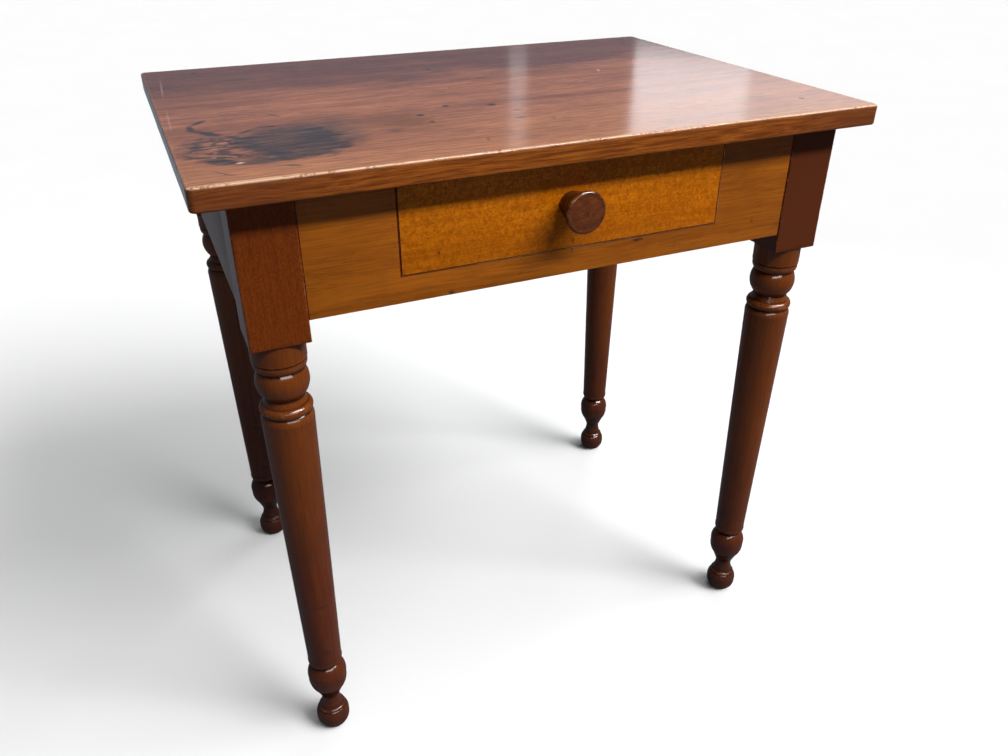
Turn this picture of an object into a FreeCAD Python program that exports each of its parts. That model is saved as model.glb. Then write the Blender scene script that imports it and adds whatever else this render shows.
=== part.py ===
import FreeCAD, Part
import Sketcher
import os

# A small tavern table with one drawer. X runs along the front, Y to the back and Z up.
# The origin is on the floor, under the middle of the top. Lengths are in millimetres.

drivingSizes = {
    # the whole table
    "tableHeight": 740,
    "topLength": 736,
    "topDepth": 525,
    "topThick": 22,
    "topUpperRound": 2.2,
    "topLowerRound": 3,
    "topCornerEase": 1.5,
    "topEndOverhang": 31,
    "topFrontOverhang": 26,
    # square posts, each one piece with its turned leg
    "postWidth": 59,
    "postHeight": 148.5,
    "postRound": 1.3,
    # turned leg, from the floor up to the shaft
    "footFlatRadius": 13,
    "footBellyRadius": 20.6,
    "footBellyRise": 21,
    "footCurl": 2.2,
    "footShoulderRadius": 17.2,
    "footShoulderRise": 13.5,
    "footShoulderCurl": 1,
    "ankleRadius": 12.2,
    "ankleTaper": 12.5,
    "ankleCove": 13,
    "ankleCoveDepth": 1.7,
    "pearWaistRadius": 18.6,
    "pearWaistRise": 13.5,
    "pearRadius": 23.4,
    "pearRise": 19,
    "pearCurl": 1.6,
    "pearDrop": 18.5,
    "pearDropCurl": 3,
    "heelGrooveRadius": 15.5,
    "heelRise": 12,
    "heelCurl": 2.4,
    "shaftFootRadius": 20.5,
    # turned leg, from the shaft up to the post
    "shaftHeadRadius": 27.4,
    "shoulderHeight": 10,
    "shoulderCurl": 1.2,
    "shaftGrooveRadius": 24.4,
    "collarHeight": 11,
    "collarCurl": 3.7,
    "collarWaistRadius": 23,
    "waistHeight": 7.5,
    "ballWaistRadius": 19.9,
    "ballHeight": 32,
    "ballCurl": 5.7,
    "ballGrooveRadius": 23.3,
    "beadHeight": 10.6,
    "beadCurl": 2,
    "beadRadius": 26.6,
    "scribeWidth": 1.2,
    "scribeDepth": 0.9,
    "neckHeight": 23,
    "neckRadius": 27.8,
    # aprons, tenoned into the posts
    "apronHeight": 126,
    "apronThick": 22,
    "apronSetback": 1.5,
    "tenonThick": 9,
    "tenonLength": 30,
    "tenonTopShoulder": 18,
    "tenonFootShoulder": 14,
    "mortiseEndGap": 1,
    # the drawer and its opening in the front apron
    "railHeight": 28.5,
    "drawerWidth": 368,
    "drawerBackRoom": 44,
    "drawerSideGap": 0.8,
    "drawerTopGap": 1,
    "drawerFootGap": 0.8,
    "drawerRunGap": 0.3,
    "drawerFrontThick": 20,
    "drawerSideThick": 11,
    "drawerBackThick": 11,
    "sideTopDrop": 8,
    "backTopDrop": 6,
    # dovetails between the drawer's boards
    "tailLap": 6,
    "tailTipWidth": 20,
    "tailRootWidth": 15.5,
    "tailMargin": 4,
    # the drawer's bottom panel, bevelled below into grooves on three sides
    "panelThick": 9,
    "panelGap": 0.3,
    "grooveRise": 7,
    "grooveWidth": 5,
    "grooveDepth": 5,
    "bevelWidth": 30,
    # runners, guides and stops inside the frame
    "runnerThick": 20,
    "runnerInside": 8,
    "runnerOutside": 5,
    "stubLength": 6,
    "stubThick": 10,
    "guideWidth": 20,
    "guideHeight": 20,
    "stopWidth": 18,
    "stopLength": 20,
    "stopHeight": 15,
    "stopGap": 0.5,
    # turned knob, outwards from the drawer's face
    "spigotRadius": 7,
    "knobFootRadius": 12.3,
    "knobFootReach": 4,
    "knobBackRadius": 21.6,
    "knobBackReach": 25,
    "knobBackHollow": 1.2,
    "knobRimReach": 4.5,
    "knobRimCurl": 1.2,
    "knobFaceRadius": 20.4,
    "knobFaceDome": 2,
    # slotted screws that hold the top, each in a slanted pocket
    "screwInset": 46,
    "screwJoint": 13,
    "screwTilt": 14,
    "screwWood": 30,
    "screwBite": 14,
    "screwTip": 5,
    "screwRadius": 2.2,
    "screwHeadRadius": 4.4,
    "screwHeadHeight": 2.6,
    "screwSlotWidth": 1.1,
    "screwSlotDepth": 1.2,
    "pocketRadius": 5.4,
    "pocketLength": 70,
    # flat-headed nails
    "nailRadius": 1.1,
    "nailTip": 4,
    "nailHeadRadius": 2.8,
    "nailHeadHeight": 1.1,
    "panelNailBite": 16,
    "panelNailPitch": 110,
    "guideNailBite": 12,
    "guideNailPitch": 140,
}

# how many there are along one joint
frontTails = 3
backTails = 2
panelNails = 3
guideNails = 3


# ---- sizes and formulas --------------------------------------------------------------------


class Length:
    """A size together with the spreadsheet formula that gives it."""

    def __init__(self, value, formula):
        self.value = value
        self.formula = formula

    def __add__(self, other):
        other = asLength(other)
        return Length(self.value + other.value, f"({self.formula} + {other.formula})")

    def __sub__(self, other):
        other = asLength(other)
        return Length(self.value - other.value, f"({self.formula} - {other.formula})")

    def __mul__(self, other):
        other = asLength(other)
        return Length(self.value * other.value, f"({self.formula} * {other.formula})")

    def __truediv__(self, other):
        other = asLength(other)
        return Length(self.value / other.value, f"({self.formula} / {other.formula})")

    def __neg__(self):
        return Length(-self.value, f"(0 - {self.formula})")


def asLength(number):
    if isinstance(number, Length):
        return number
    return Length(number, f"({number})")


doc = FreeCAD.newDocument("tavern_table")
sheet = doc.addObject("Spreadsheet::Sheet", "Sizes")
size = {}
for row, (alias, number) in enumerate(drivingSizes.items(), start=1):
    sheet.set(f"A{row}", alias)
    sheet.set(f"B{row}", str(number))
    sheet.setAlias(f"B{row}", alias)
    size[alias] = Length(number, f"Sizes.{alias}")
doc.recompute()


def bind(thing, settings):
    for path, length in settings.items():
        thing.setExpression(path, asLength(length).formula)


def bindPlace(thing, place):
    bind(thing, {f"Placement.Base.{axis}": length for axis, length in zip("xyz", place)})


# ---- boxes, unions and cuts ----------------------------------------------------------------


def bindBox(box, corner, opposite):
    """Sets a box between two opposite corners, given in any order."""
    spans = [
        sorted((asLength(first), asLength(second)), key=lambda end: end.value)
        for first, second in zip(corner, opposite)
    ]
    for path, (low, high) in zip(("Length", "Width", "Height"), spans):
        bind(box, {path: high - low})
    bindPlace(box, [low for low, high in spans])
    return box


def makeBox(name, corner, opposite):
    return bindBox(doc.addObject("Part::Box", name), corner, opposite)


def makeWedge(name, spans):
    wedge = doc.addObject("Part::Wedge", name)
    bind(wedge, spans)
    return wedge


def fuse(name, shapes):
    union = doc.addObject("Part::MultiFuse", name)
    union.Shapes = shapes
    union.Refine = True
    return union


def cut(name, base, tools):
    result = doc.addObject("Part::Cut", name)
    result.Base = base
    result.Tool = tools[0] if len(tools) == 1 else fuse(name + "_cuts", tools)
    return result


def group(name, solids):
    """Separate solids that share one node."""
    compound = doc.addObject("Part::Compound", name)
    compound.Links = solids
    return compound


def copyTo(name, original, place, tiltAxis=None, tilt=0):
    """A linked copy of an object, turned about a tilt axis through its own origin."""
    link = doc.addObject("App::Link", name)
    link.LinkedObject = original
    if tiltAxis:
        turn = FreeCAD.Rotation(FreeCAD.Vector(*tiltAxis), asLength(tilt).value)
        link.Placement = FreeCAD.Placement(FreeCAD.Vector(), turn)
        bind(link, {"Placement.Rotation.Angle": asLength(tilt) * Length(1, "1deg")})
    bindPlace(link, place)
    return link


# ---- bodies --------------------------------------------------------------------------------


def bodyBox(body, kind, name, corner, opposite):
    """An additive or subtractive box of a body."""
    return bindBox(body.newObject(f"PartDesign::{kind}Box", name), corner, opposite)


def roundEdges(body, name, radius, isWanted):
    """Rounds the edges of the body, as it is so far, for which isWanted holds."""
    doc.recompute()
    base = body.Tip
    edges = [f"Edge{count}" for count, edge in enumerate(base.Shape.Edges, start=1) if isWanted(edge)]
    fillet = body.newObject("PartDesign::Fillet", name)
    fillet.Base = (base, edges)
    bind(fillet, {"Radius": radius})


def isUpright(edge):
    start, end = edge.Vertexes[0].Point, edge.Vertexes[-1].Point
    return abs(end.z - start.z) > abs(end.x - start.x) + abs(end.y - start.y)


def isAtHeight(edge, height):
    return all(abs(vertex.Point.z - height.value) < 0.001 for vertex in edge.Vertexes)


def bindConstraint(sketch, name, parts, length):
    index = sketch.addConstraint(Sketcher.Constraint(*parts, float(length.value)))
    sketch.renameConstraint(index, name)
    sketch.setExpression(f"Constraints.{name}", length.formula)


def addArc(sketch, start, end, bulge):
    """An arc between two points of an outline that is followed with the wood on its left.

    A bulge above zero swells out of the wood, and one below zero is hollow. An arc that ends on
    the axis is a dome, with its centre on the axis. The result is the arc's number in the sketch,
    with its ends that lie at the start and at the end.
    """
    hollow = bulge.value < 0
    first, last = (end, start) if hollow else (start, end)
    height = -bulge if hollow else bulge
    low = FreeCAD.Vector(first[0].value, first[1].value, 0)
    high = FreeCAD.Vector(last[0].value, last[1].value, 0)
    chord = high - low
    outward = FreeCAD.Vector(chord.y, -chord.x, 0).normalize()
    middle = (low + high) * 0.5 + outward * height.value
    arc = sketch.addGeometry(Part.Arc(low, middle, high))
    if end[0].value == 0:
        sketch.addConstraint(Sketcher.Constraint("PointOnObject", arc, 3, -2))
        return arc, 1, 2
    across = end[0] - start[0]
    along = end[1] - start[1]
    radius = ((across * across + along * along) / 4 + height * height) / (height * 2)
    bindConstraint(sketch, f"arc_{arc}", ("Radius", arc), radius)
    return (arc, 2, 1) if hollow else (arc, 1, 2)


def turnOutline(body, points):
    """Turns a half outline about Z. Its steps are (radius, height, bulge of the stretch to there).

    The first and the last point lie on the axis. The spreadsheet holds every point and arc.
    """
    sketch = body.newObject("Sketcher::SketchObject", body.Name + "_outline")
    plane = next(feature for feature in body.Origin.OriginFeatures if feature.Role == "XZ_Plane")
    sketch.AttachmentSupport = [(plane, "")]
    sketch.MapMode = "FlatFace"
    steps = [(asLength(radius), asLength(height), bulge) for radius, height, bulge in points]
    edges = []
    for start, end in zip(steps, steps[1:] + steps[:1]):
        if end[2]:
            edges.append(addArc(sketch, start, end, end[2]))
        else:
            low = FreeCAD.Vector(start[0].value, start[1].value, 0)
            high = FreeCAD.Vector(end[0].value, end[1].value, 0)
            edges.append((sketch.addGeometry(Part.LineSegment(low, high)), 1, 2))
    for here, after in zip(edges, edges[1:] + edges[:1]):
        sketch.addConstraint(Sketcher.Constraint("Coincident", here[0], here[2], after[0], after[1]))
    for (edge, first, last), (radius, height, bulge) in zip(edges, steps):
        if radius.value:
            bindConstraint(sketch, f"radius_{edge}", ("DistanceX", -1, 1, edge, first), radius)
        else:
            sketch.addConstraint(Sketcher.Constraint("PointOnObject", edge, first, -2))
        bindConstraint(sketch, f"height_{edge}", ("DistanceY", -1, 1, edge, first), height)
    turning = body.newObject("PartDesign::Revolution", body.Name + "_turning")
    turning.Profile = sketch
    turning.ReferenceAxis = (sketch, ["V_Axis"])
    turning.Angle = 360


def makeTurned(name, points):
    body = doc.addObject("PartDesign::Body", name)
    turnOutline(body, points)
    return body


# ---- places that several pieces share ------------------------------------------------------

underTop = size["tableHeight"] - size["topThick"]
halfPost = size["postWidth"] / 2
postFoot = underTop - size["postHeight"]
frameEndX = size["topLength"] / 2 - size["topEndOverhang"]
frameFrontY = size["topDepth"] / 2 - size["topFrontOverhang"]
legX = frameEndX - halfPost
legY = frameFrontY - halfPost

apronFoot = underTop - size["apronHeight"]
apronOuterX = frameEndX - size["apronSetback"]
apronOuterY = frameFrontY - size["apronSetback"]
apronInnerX = apronOuterX - size["apronThick"]
apronInnerY = apronOuterY - size["apronThick"]
apronEndX = legX - halfPost
apronEndY = legY - halfPost
tenonCheek = (size["apronThick"] - size["tenonThick"]) / 2
tenonFoot = apronFoot + size["tenonFootShoulder"]
tenonTop = underTop - size["tenonTopShoulder"]
mortiseDepth = size["tenonLength"] + size["mortiseEndGap"]

railTop = apronFoot + size["railHeight"]
halfDrawer = size["drawerWidth"] / 2
halfOpening = halfDrawer + size["drawerSideGap"]
frontFace = -apronOuterY
frontInner = frontFace + size["drawerFrontThick"]
drawerEnd = apronInnerY - size["drawerBackRoom"]
backInner = drawerEnd - size["drawerBackThick"]
frontFoot = railTop + size["drawerFootGap"]
frontTop = underTop - size["drawerTopGap"]
knobMiddle = (frontFoot + frontTop) / 2
sideFoot = railTop + size["drawerRunGap"]
sideTop = frontTop - size["sideTopDrop"]
sideInner = halfDrawer - size["drawerSideThick"]
backTop = sideTop - size["backTopDrop"]
grooveFoot = sideFoot + size["grooveRise"]
panelTop = grooveFoot + size["grooveWidth"]
panelFoot = panelTop - size["panelThick"]

runnerInner = sideInner - size["runnerInside"]
runnerOuter = halfOpening + size["guideWidth"] + size["runnerOutside"]
stubFoot = railTop - (size["runnerThick"] + size["stubThick"]) / 2
stubTop = stubFoot + size["stubThick"]
guideTop = railTop + size["guideHeight"]

# the sign of each side's X and of each end's Y
sides = {"left": -1, "right": 1}
ends = {"front": -1, "back": 1}

# the axis that each apron's outer face looks along, and the sign of that way
aprons = {
    "front_apron": ("y", -1),
    "back_apron": ("y", 1),
    "left_apron": ("x", -1),
    "right_apron": ("x", 1),
}

# lays an upright axis down, to point out of the drawer's face
facingForwards = FreeCAD.Rotation(FreeCAD.Vector(1, 0, 0), 90)


# ---- legs ----------------------------------------------------------------------------------


def legOutline():
    belly = size["footBellyRise"]
    footShoulder = belly + size["footShoulderRise"]
    ankle = footShoulder + size["ankleTaper"]
    ankleTop = ankle + size["ankleCove"]
    pearWaist = ankleTop + size["pearWaistRise"]
    pear = pearWaist + size["pearRise"]
    heelGroove = pear + size["pearDrop"]
    heel = heelGroove + size["heelRise"]
    neckFoot = postFoot - size["neckHeight"]
    beadTop = neckFoot - size["scribeWidth"]
    beadFoot = beadTop - size["beadHeight"]
    ballFoot = beadFoot - size["ballHeight"]
    collarTop = ballFoot - size["waistHeight"]
    collarFoot = collarTop - size["collarHeight"]
    shoulder = collarFoot - size["shoulderHeight"]
    return [
        (0, 0, None),
        (size["footFlatRadius"], 0, None),
        (size["footBellyRadius"], belly, size["footCurl"]),
        (size["footShoulderRadius"], footShoulder, size["footShoulderCurl"]),
        (size["ankleRadius"], ankle, None),
        (size["ankleRadius"], ankleTop, -size["ankleCoveDepth"]),
        (size["pearWaistRadius"], pearWaist, None),
        (size["pearRadius"], pear, size["pearCurl"]),
        (size["heelGrooveRadius"], heelGroove, size["pearDropCurl"]),
        (size["shaftFootRadius"], heel, size["heelCurl"]),
        (size["shaftHeadRadius"], shoulder, None),
        (size["shaftGrooveRadius"], collarFoot, size["shoulderCurl"]),
        (size["collarWaistRadius"], collarTop, size["collarCurl"]),
        (size["ballWaistRadius"], ballFoot, None),
        (size["ballGrooveRadius"], beadFoot, size["ballCurl"]),
        (size["beadRadius"], beadTop, size["beadCurl"]),
        (size["neckRadius"] - size["scribeDepth"], beadTop + size["scribeWidth"] / 2, None),
        (size["neckRadius"], neckFoot, None),
        (size["neckRadius"], postFoot, None),
        (0, postFoot, None),
    ]


def isArris(edge):
    return all(
        abs(abs(across) - halfPost.value) < 0.001
        for vertex in edge.Vertexes
        for across in (vertex.Point.x, vertex.Point.y)
    )


def makeLeg(name, side, end):
    """A leg on its own axis. Its two mortises face the other legs and lie near the outer faces."""
    leg = makeTurned(name, legOutline())
    bodyBox(leg, "Additive", name + "_post",
            (-halfPost, -halfPost, postFoot), (halfPost, halfPost, underTop))
    roundEdges(leg, name + "_arris", size["postRound"], lambda edge: isUpright(edge) and isArris(edge))
    outer = halfPost - size["apronSetback"] - tenonCheek
    inner = outer - size["tenonThick"]
    deep = halfPost - mortiseDepth
    bodyBox(leg, "Subtractive", name + "_long_mortise",
            (halfPost * -side, outer * end, tenonFoot), (deep * -side, inner * end, tenonTop))
    bodyBox(leg, "Subtractive", name + "_short_mortise",
            (outer * side, halfPost * -end, tenonFoot), (inner * side, deep * -end, tenonTop))
    bindPlace(leg, (legX * side, legY * end, 0))
    return leg


# ---- top and aprons ------------------------------------------------------------------------


def makeTabletop(screwHoles):
    board = doc.addObject("PartDesign::Body", "tabletop_board")
    halfLength = size["topLength"] / 2
    halfDepth = size["topDepth"] / 2
    bodyBox(board, "Additive", "tabletop_slab", (-halfLength, -halfDepth, underTop),
            (halfLength, halfDepth, size["tableHeight"]))
    roundEdges(board, "tabletop_corners", size["topLowerRound"] + size["topCornerEase"], isUpright)
    roundEdges(board, "tabletop_upper_edge", size["topUpperRound"],
               lambda edge: isAtHeight(edge, size["tableHeight"]))
    roundEdges(board, "tabletop_lower_edge", size["topLowerRound"], lambda edge: isAtHeight(edge, underTop))
    return cut("tabletop", board, screwHoles)


def makeApron(name, axis, sign, cuts):
    """A board between two posts, tenoned into both. Its outer face looks along the given axis."""
    if axis == "y":
        end, outer, inner = apronEndX, apronOuterY * sign, apronInnerY * sign
    else:
        end, outer, inner = apronEndY, apronOuterX * sign, apronInnerX * sign
    cheek = tenonCheek * sign
    tenonEnd = end + size["tenonLength"]
    board = [(-end, outer, apronFoot), (end, inner, underTop)]
    tenons = [(-tenonEnd, outer - cheek, tenonFoot), (tenonEnd, inner + cheek, tenonTop)]
    if axis == "x":
        board = [(across, along, up) for along, across, up in board]
        tenons = [(across, along, up) for along, across, up in tenons]
    blank = fuse(name + "_blank", [makeBox(name + "_board", *board), makeBox(name + "_tenons", *tenons)])
    return cut(name, blank, cuts)


def makeDrawerOpening():
    return makeBox("drawer_opening", (-halfOpening, -apronOuterY, railTop),
                   (halfOpening, -apronInnerY, underTop))


def makeStubMortises(end):
    """The mortises for both runners in the front or the back apron."""
    face = apronInnerY * ends[end]
    floor = (apronInnerY + size["stubLength"] + size["mortiseEndGap"]) * ends[end]
    return [
        makeBox(f"stub_mortise_{end}_{side}", (runnerInner * sign, face, stubFoot),
                (runnerOuter * sign, floor, stubTop))
        for side, sign in sides.items()
    ]


# ---- screws --------------------------------------------------------------------------------


def screwOutline():
    """A screw from its head up to its tip, with zero height at the joint that it crosses."""
    return [
        (size["screwHeadRadius"], -size["screwWood"], None),
        (size["screwRadius"], size["screwHeadHeight"] - size["screwWood"], None),
        (size["screwRadius"], size["screwBite"] - size["screwTip"], None),
        (0, size["screwBite"], None),
    ]


def makeScrew():
    screw = makeTurned("screw", [(0, -size["screwWood"], None)] + screwOutline())
    halfSlot = size["screwSlotWidth"] / 2
    bodyBox(screw, "Subtractive", "screw_slot",
            (-size["screwHeadRadius"], -halfSlot, -size["screwWood"]),
            (size["screwHeadRadius"], halfSlot, size["screwSlotDepth"] - size["screwWood"]))
    return screw


def makeScrewHole():
    """The room that a screw and the slanted pocket below its head take out of the wood."""
    pocketFoot = -size["screwWood"] - size["pocketLength"]
    pocket = [
        (0, pocketFoot, None),
        (size["pocketRadius"], pocketFoot, None),
        (size["pocketRadius"], -size["screwWood"], None),
    ]
    return makeTurned("screw_hole", pocket + screwOutline())


def screwPlaces(axis, sign):
    """Where the two screws of one apron cross the joint under the top."""
    if axis == "y":
        across = (apronInnerY + size["screwJoint"]) * sign
        return [((apronEndX - size["screwInset"]) * side, across, underTop) for side in sides.values()]
    across = (apronInnerX + size["screwJoint"]) * sign
    return [(across, (apronEndY - size["screwInset"]) * end, underTop) for end in ends.values()]


def placeScrews(name, original, axis, sign):
    """Copies in one apron, leaning outwards as they go up."""
    tiltAxis = (-sign, 0, 0) if axis == "y" else (0, sign, 0)
    return [
        copyTo(f"{name}_{count}", original, place, tiltAxis, size["screwTilt"])
        for count, place in enumerate(screwPlaces(axis, sign))
    ]


# ---- what carries the drawer ---------------------------------------------------------------


def makeNail(name, wood, bite):
    """A nail, upright on its head, through a piece of wood and into the next."""
    neck = size["nailHeadHeight"]
    tip = neck + wood + bite
    return makeTurned(name, [
        (0, 0, None),
        (size["nailHeadRadius"], 0, None),
        (size["nailHeadRadius"], neck, None),
        (size["nailRadius"], neck, None),
        (size["nailRadius"], tip - size["nailTip"], None),
        (0, tip, None),
    ])


def placeGuideNails(nail, side):
    """Nails down through a guide into its runner."""
    across = (halfOpening + size["guideWidth"] / 2) * sides[side]
    head = guideTop + size["nailHeadHeight"]
    first = size["guideNailPitch"] * (1 - guideNails) / 2
    places = [(across, first + size["guideNailPitch"] * step, head) for step in range(guideNails)]
    return [
        copyTo(f"guide_nail_{side}_{step}", nail, place, (1, 0, 0), 180)
        for step, place in enumerate(places)
    ]


def makeRunner(side, nails):
    sign = sides[side]
    stubEnd = apronInnerY + size["stubLength"]
    bar = makeBox(f"runner_{side}_bar", (runnerInner * sign, -apronInnerY, railTop - size["runnerThick"]),
                  (runnerOuter * sign, apronInnerY, railTop))
    stubs = makeBox(f"runner_{side}_stubs", (runnerInner * sign, -stubEnd, stubFoot),
                    (runnerOuter * sign, stubEnd, stubTop))
    return cut(f"runner_{side}", fuse(f"runner_{side}_blank", [bar, stubs]), nails)


def makeGuide(side, nails):
    sign = sides[side]
    bar = makeBox(f"guide_{side}_bar", (halfOpening * sign, -apronInnerY, railTop),
                  ((halfOpening + size["guideWidth"]) * sign, apronInnerY, guideTop))
    return cut(f"guide_{side}", bar, nails)


def makeStop(side):
    sign = sides[side]
    stopFront = drawerEnd + size["stopGap"]
    return makeBox(f"stop_{side}", ((halfOpening - size["stopWidth"]) * sign, stopFront, railTop),
                   (halfOpening * sign, stopFront + size["stopLength"], railTop + size["stopHeight"]))


# ---- drawer --------------------------------------------------------------------------------


def makeTails(name, sign, tip, root, low, high, count):
    """Dovetails on the end of a drawer's side, spread evenly between two heights."""
    tipHalf = size["tailTipWidth"] / 2
    rootHalf = size["tailRootWidth"] / 2
    across = sorted((sideInner * sign, halfDrawer * sign), key=lambda end: end.value)
    along = sorted(((tip, tipHalf), (root, rootHalf)), key=lambda end: end[0].value)
    (start, startHalf), (finish, finishHalf) = along
    lowest = low + size["tailMargin"] + tipHalf
    highest = high - size["tailMargin"] - tipHalf
    tails = []
    for step in range(count):
        middle = lowest + (highest - lowest) * step / (count - 1)
        tails.append(makeWedge(f"{name}_{step}", {
            "Xmin": across[0], "Xmax": across[1], "X2min": across[0], "X2max": across[1],
            "Ymin": start, "Ymax": finish,
            "Zmin": middle - startHalf, "Zmax": middle + startHalf,
            "Z2min": middle - finishHalf, "Z2max": middle + finishHalf,
        }))
    return tails


def makeDrawerSide(side, tails):
    """A side whose lower edge runs on below the back, to bear on its runner for the whole length."""
    sign = sides[side]
    name = f"drawer_side_{side}"
    board = makeBox(name + "_board", (sideInner * sign, frontInner, sideFoot),
                    (halfDrawer * sign, backInner, sideTop))
    heel = makeBox(name + "_heel", (sideInner * sign, backInner, sideFoot),
                   (halfDrawer * sign, drawerEnd, panelTop))
    groove = makeBox(name + "_groove", (sideInner * sign, frontFace + size["tailLap"], grooveFoot),
                     ((sideInner + size["grooveDepth"]) * sign, drawerEnd, panelTop))
    return cut(name, fuse(name + "_blank", [board, heel] + tails), [groove])


def makeDrawerFront(tails):
    board = makeBox("drawer_front_board", (-halfDrawer, frontFace, frontFoot),
                    (halfDrawer, frontInner, frontTop))
    groove = makeBox("drawer_front_groove", (-sideInner, frontInner - size["grooveDepth"], grooveFoot),
                     (sideInner, frontInner, panelTop))
    bore = doc.addObject("Part::Cylinder", "drawer_front_bore")
    bind(bore, {"Radius": size["spigotRadius"], "Height": size["drawerFrontThick"]})
    bore.Placement = FreeCAD.Placement(FreeCAD.Vector(), facingForwards)
    bindPlace(bore, (0, frontInner, knobMiddle))
    return cut("drawer_front", board, tails + [groove, bore])


def makeDrawerBack(tails, nails):
    board = makeBox("drawer_back_board", (-halfDrawer, backInner, panelTop),
                    (halfDrawer, drawerEnd, backTop))
    return cut("drawer_back", board, tails + nails)


def makeDrawerBottom(nails):
    """A panel with its flat face up, thinned below towards the grooves that hold it."""
    tongue = size["grooveDepth"] - size["panelGap"]
    bevel = size["bevelWidth"]
    edgeThick = (size["grooveWidth"] * bevel - size["panelThick"] * tongue) / (bevel - tongue)
    edgeX = sideInner + tongue
    edgeY = frontInner - tongue
    plate = makeBox("drawer_bottom_plate", (-edgeX, edgeY, panelTop - edgeThick),
                    (edgeX, drawerEnd, panelTop))
    # the wedge stands on its own Y, which is Z here once it is turned, and its own Z is then -Y
    field = makeWedge("drawer_bottom_field", {
        "Xmin": bevel - edgeX, "Xmax": edgeX - bevel, "X2min": -edgeX, "X2max": edgeX,
        "Ymin": panelFoot, "Ymax": panelTop - edgeThick,
        "Zmin": -drawerEnd, "Zmax": -edgeY - bevel, "Z2min": -drawerEnd, "Z2max": -edgeY,
    })
    field.Placement = FreeCAD.Placement(FreeCAD.Vector(), facingForwards)
    return cut("drawer_bottom", fuse("drawer_bottom_blank", [plate, field]), nails)


def placePanelNails(nail):
    """Nails up through the bottom panel into the back."""
    along = drawerEnd - size["drawerBackThick"] / 2
    head = panelFoot - size["nailHeadHeight"]
    first = size["panelNailPitch"] * (1 - panelNails) / 2
    return [
        copyTo(f"panel_nail_{step}", nail, (first + size["panelNailPitch"] * step, along, head))
        for step in range(panelNails)
    ]


def makeKnob():
    face = size["drawerFrontThick"]
    foot = face + size["knobFootReach"]
    back = foot + size["knobBackReach"]
    rim = back + size["knobRimReach"]
    knob = makeTurned("drawer_knob", [
        (0, 0, None),
        (size["spigotRadius"], 0, None),
        (size["spigotRadius"], face, None),
        (size["knobFootRadius"], face, None),
        (size["knobFootRadius"], foot, None),
        (size["knobBackRadius"], back, -size["knobBackHollow"]),
        (size["knobFaceRadius"], rim, size["knobRimCurl"]),
        (0, rim + size["knobFaceDome"], size["knobFaceDome"] / 4),
    ])
    knob.Placement = FreeCAD.Placement(FreeCAD.Vector(), facingForwards)
    bindPlace(knob, (0, frontInner, knobMiddle))
    return knob


# ---- assembly ------------------------------------------------------------------------------


def makeFrame():
    screw = makeScrew()
    hole = makeScrewHole()
    screws = []
    holes = {}
    for name, (axis, sign) in aprons.items():
        screws += placeScrews(name + "_screw", screw, axis, sign)
        holes[name] = placeScrews(name + "_hole", hole, axis, sign)
    frame = [makeTabletop([one for pair in holes.values() for one in pair])]
    for end, along in ends.items():
        for side, across in sides.items():
            frame.append(makeLeg(f"leg_{end}_{side}", across, along))
    holes["front_apron"] += makeStubMortises("front") + [makeDrawerOpening()]
    holes["back_apron"] += makeStubMortises("back")
    for name, (axis, sign) in aprons.items():
        frame.append(makeApron(name, axis, sign, holes[name]))
    return frame + [group("top_screws", screws)]


def makeDrawerWay():
    nail = makeNail("guide_nail", size["guideHeight"], size["guideNailBite"])
    way = []
    allNails = []
    for side in sides:
        nails = placeGuideNails(nail, side)
        allNails += nails
        way += [makeRunner(side, nails), makeGuide(side, nails), makeStop(side)]
    return way + [group("guide_nails", allNails)]


def makeDrawer():
    nails = placePanelNails(makeNail("panel_nail", size["panelThick"], size["panelNailBite"]))
    drawer = []
    frontJoints = []
    backJoints = []
    for side, sign in sides.items():
        lap = frontFace + size["tailLap"]
        front = makeTails(f"front_tail_{side}", sign, lap, frontInner, sideFoot, sideTop, frontTails)
        back = makeTails(f"back_tail_{side}", sign, drawerEnd, backInner, panelTop, backTop, backTails)
        drawer.append(makeDrawerSide(side, front + back))
        frontJoints += front
        backJoints += back
    drawer += [makeDrawerFront(frontJoints), makeDrawerBack(backJoints, nails)]
    drawer += [makeDrawerBottom(nails), makeKnob()]
    return drawer + [group("drawer_bottom_nails", nails)]


pieces = makeFrame() + makeDrawerWay() + makeDrawer()
doc.recompute()

for thing in doc.Objects:
    if "Invalid" in thing.State or "Error" in thing.State:
        raise RuntimeError(f"{thing.Name} did not build: {thing.State}")
for piece in pieces:
    if piece.Shape.isNull() or not piece.Shape.isValid():
        raise RuntimeError(f"{piece.Label} has no sound shape")

os.makedirs("parts", exist_ok=True)
for piece in pieces:
    piece.Shape.exportStep(f"parts/{piece.Label}.step")
    print(f"{piece.Label}: {len(piece.Shape.Solids)} solid, {piece.Shape.Volume / 1000:.1f} cm3")
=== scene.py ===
import bpy
import bmesh
import math
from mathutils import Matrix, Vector, noise


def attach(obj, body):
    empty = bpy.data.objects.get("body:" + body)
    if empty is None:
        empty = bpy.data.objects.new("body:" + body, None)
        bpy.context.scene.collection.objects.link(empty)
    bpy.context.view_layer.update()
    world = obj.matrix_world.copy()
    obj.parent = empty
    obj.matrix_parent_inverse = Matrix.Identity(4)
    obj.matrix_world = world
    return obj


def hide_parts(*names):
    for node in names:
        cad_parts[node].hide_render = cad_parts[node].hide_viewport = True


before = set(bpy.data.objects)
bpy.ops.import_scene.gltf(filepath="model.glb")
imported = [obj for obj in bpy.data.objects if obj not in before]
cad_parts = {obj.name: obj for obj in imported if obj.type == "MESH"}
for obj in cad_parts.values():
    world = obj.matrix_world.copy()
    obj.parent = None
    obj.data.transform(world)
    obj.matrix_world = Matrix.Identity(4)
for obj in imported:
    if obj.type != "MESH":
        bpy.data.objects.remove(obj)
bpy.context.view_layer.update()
scene = bpy.context.scene
scene.view_settings.view_transform = "Standard"
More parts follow.
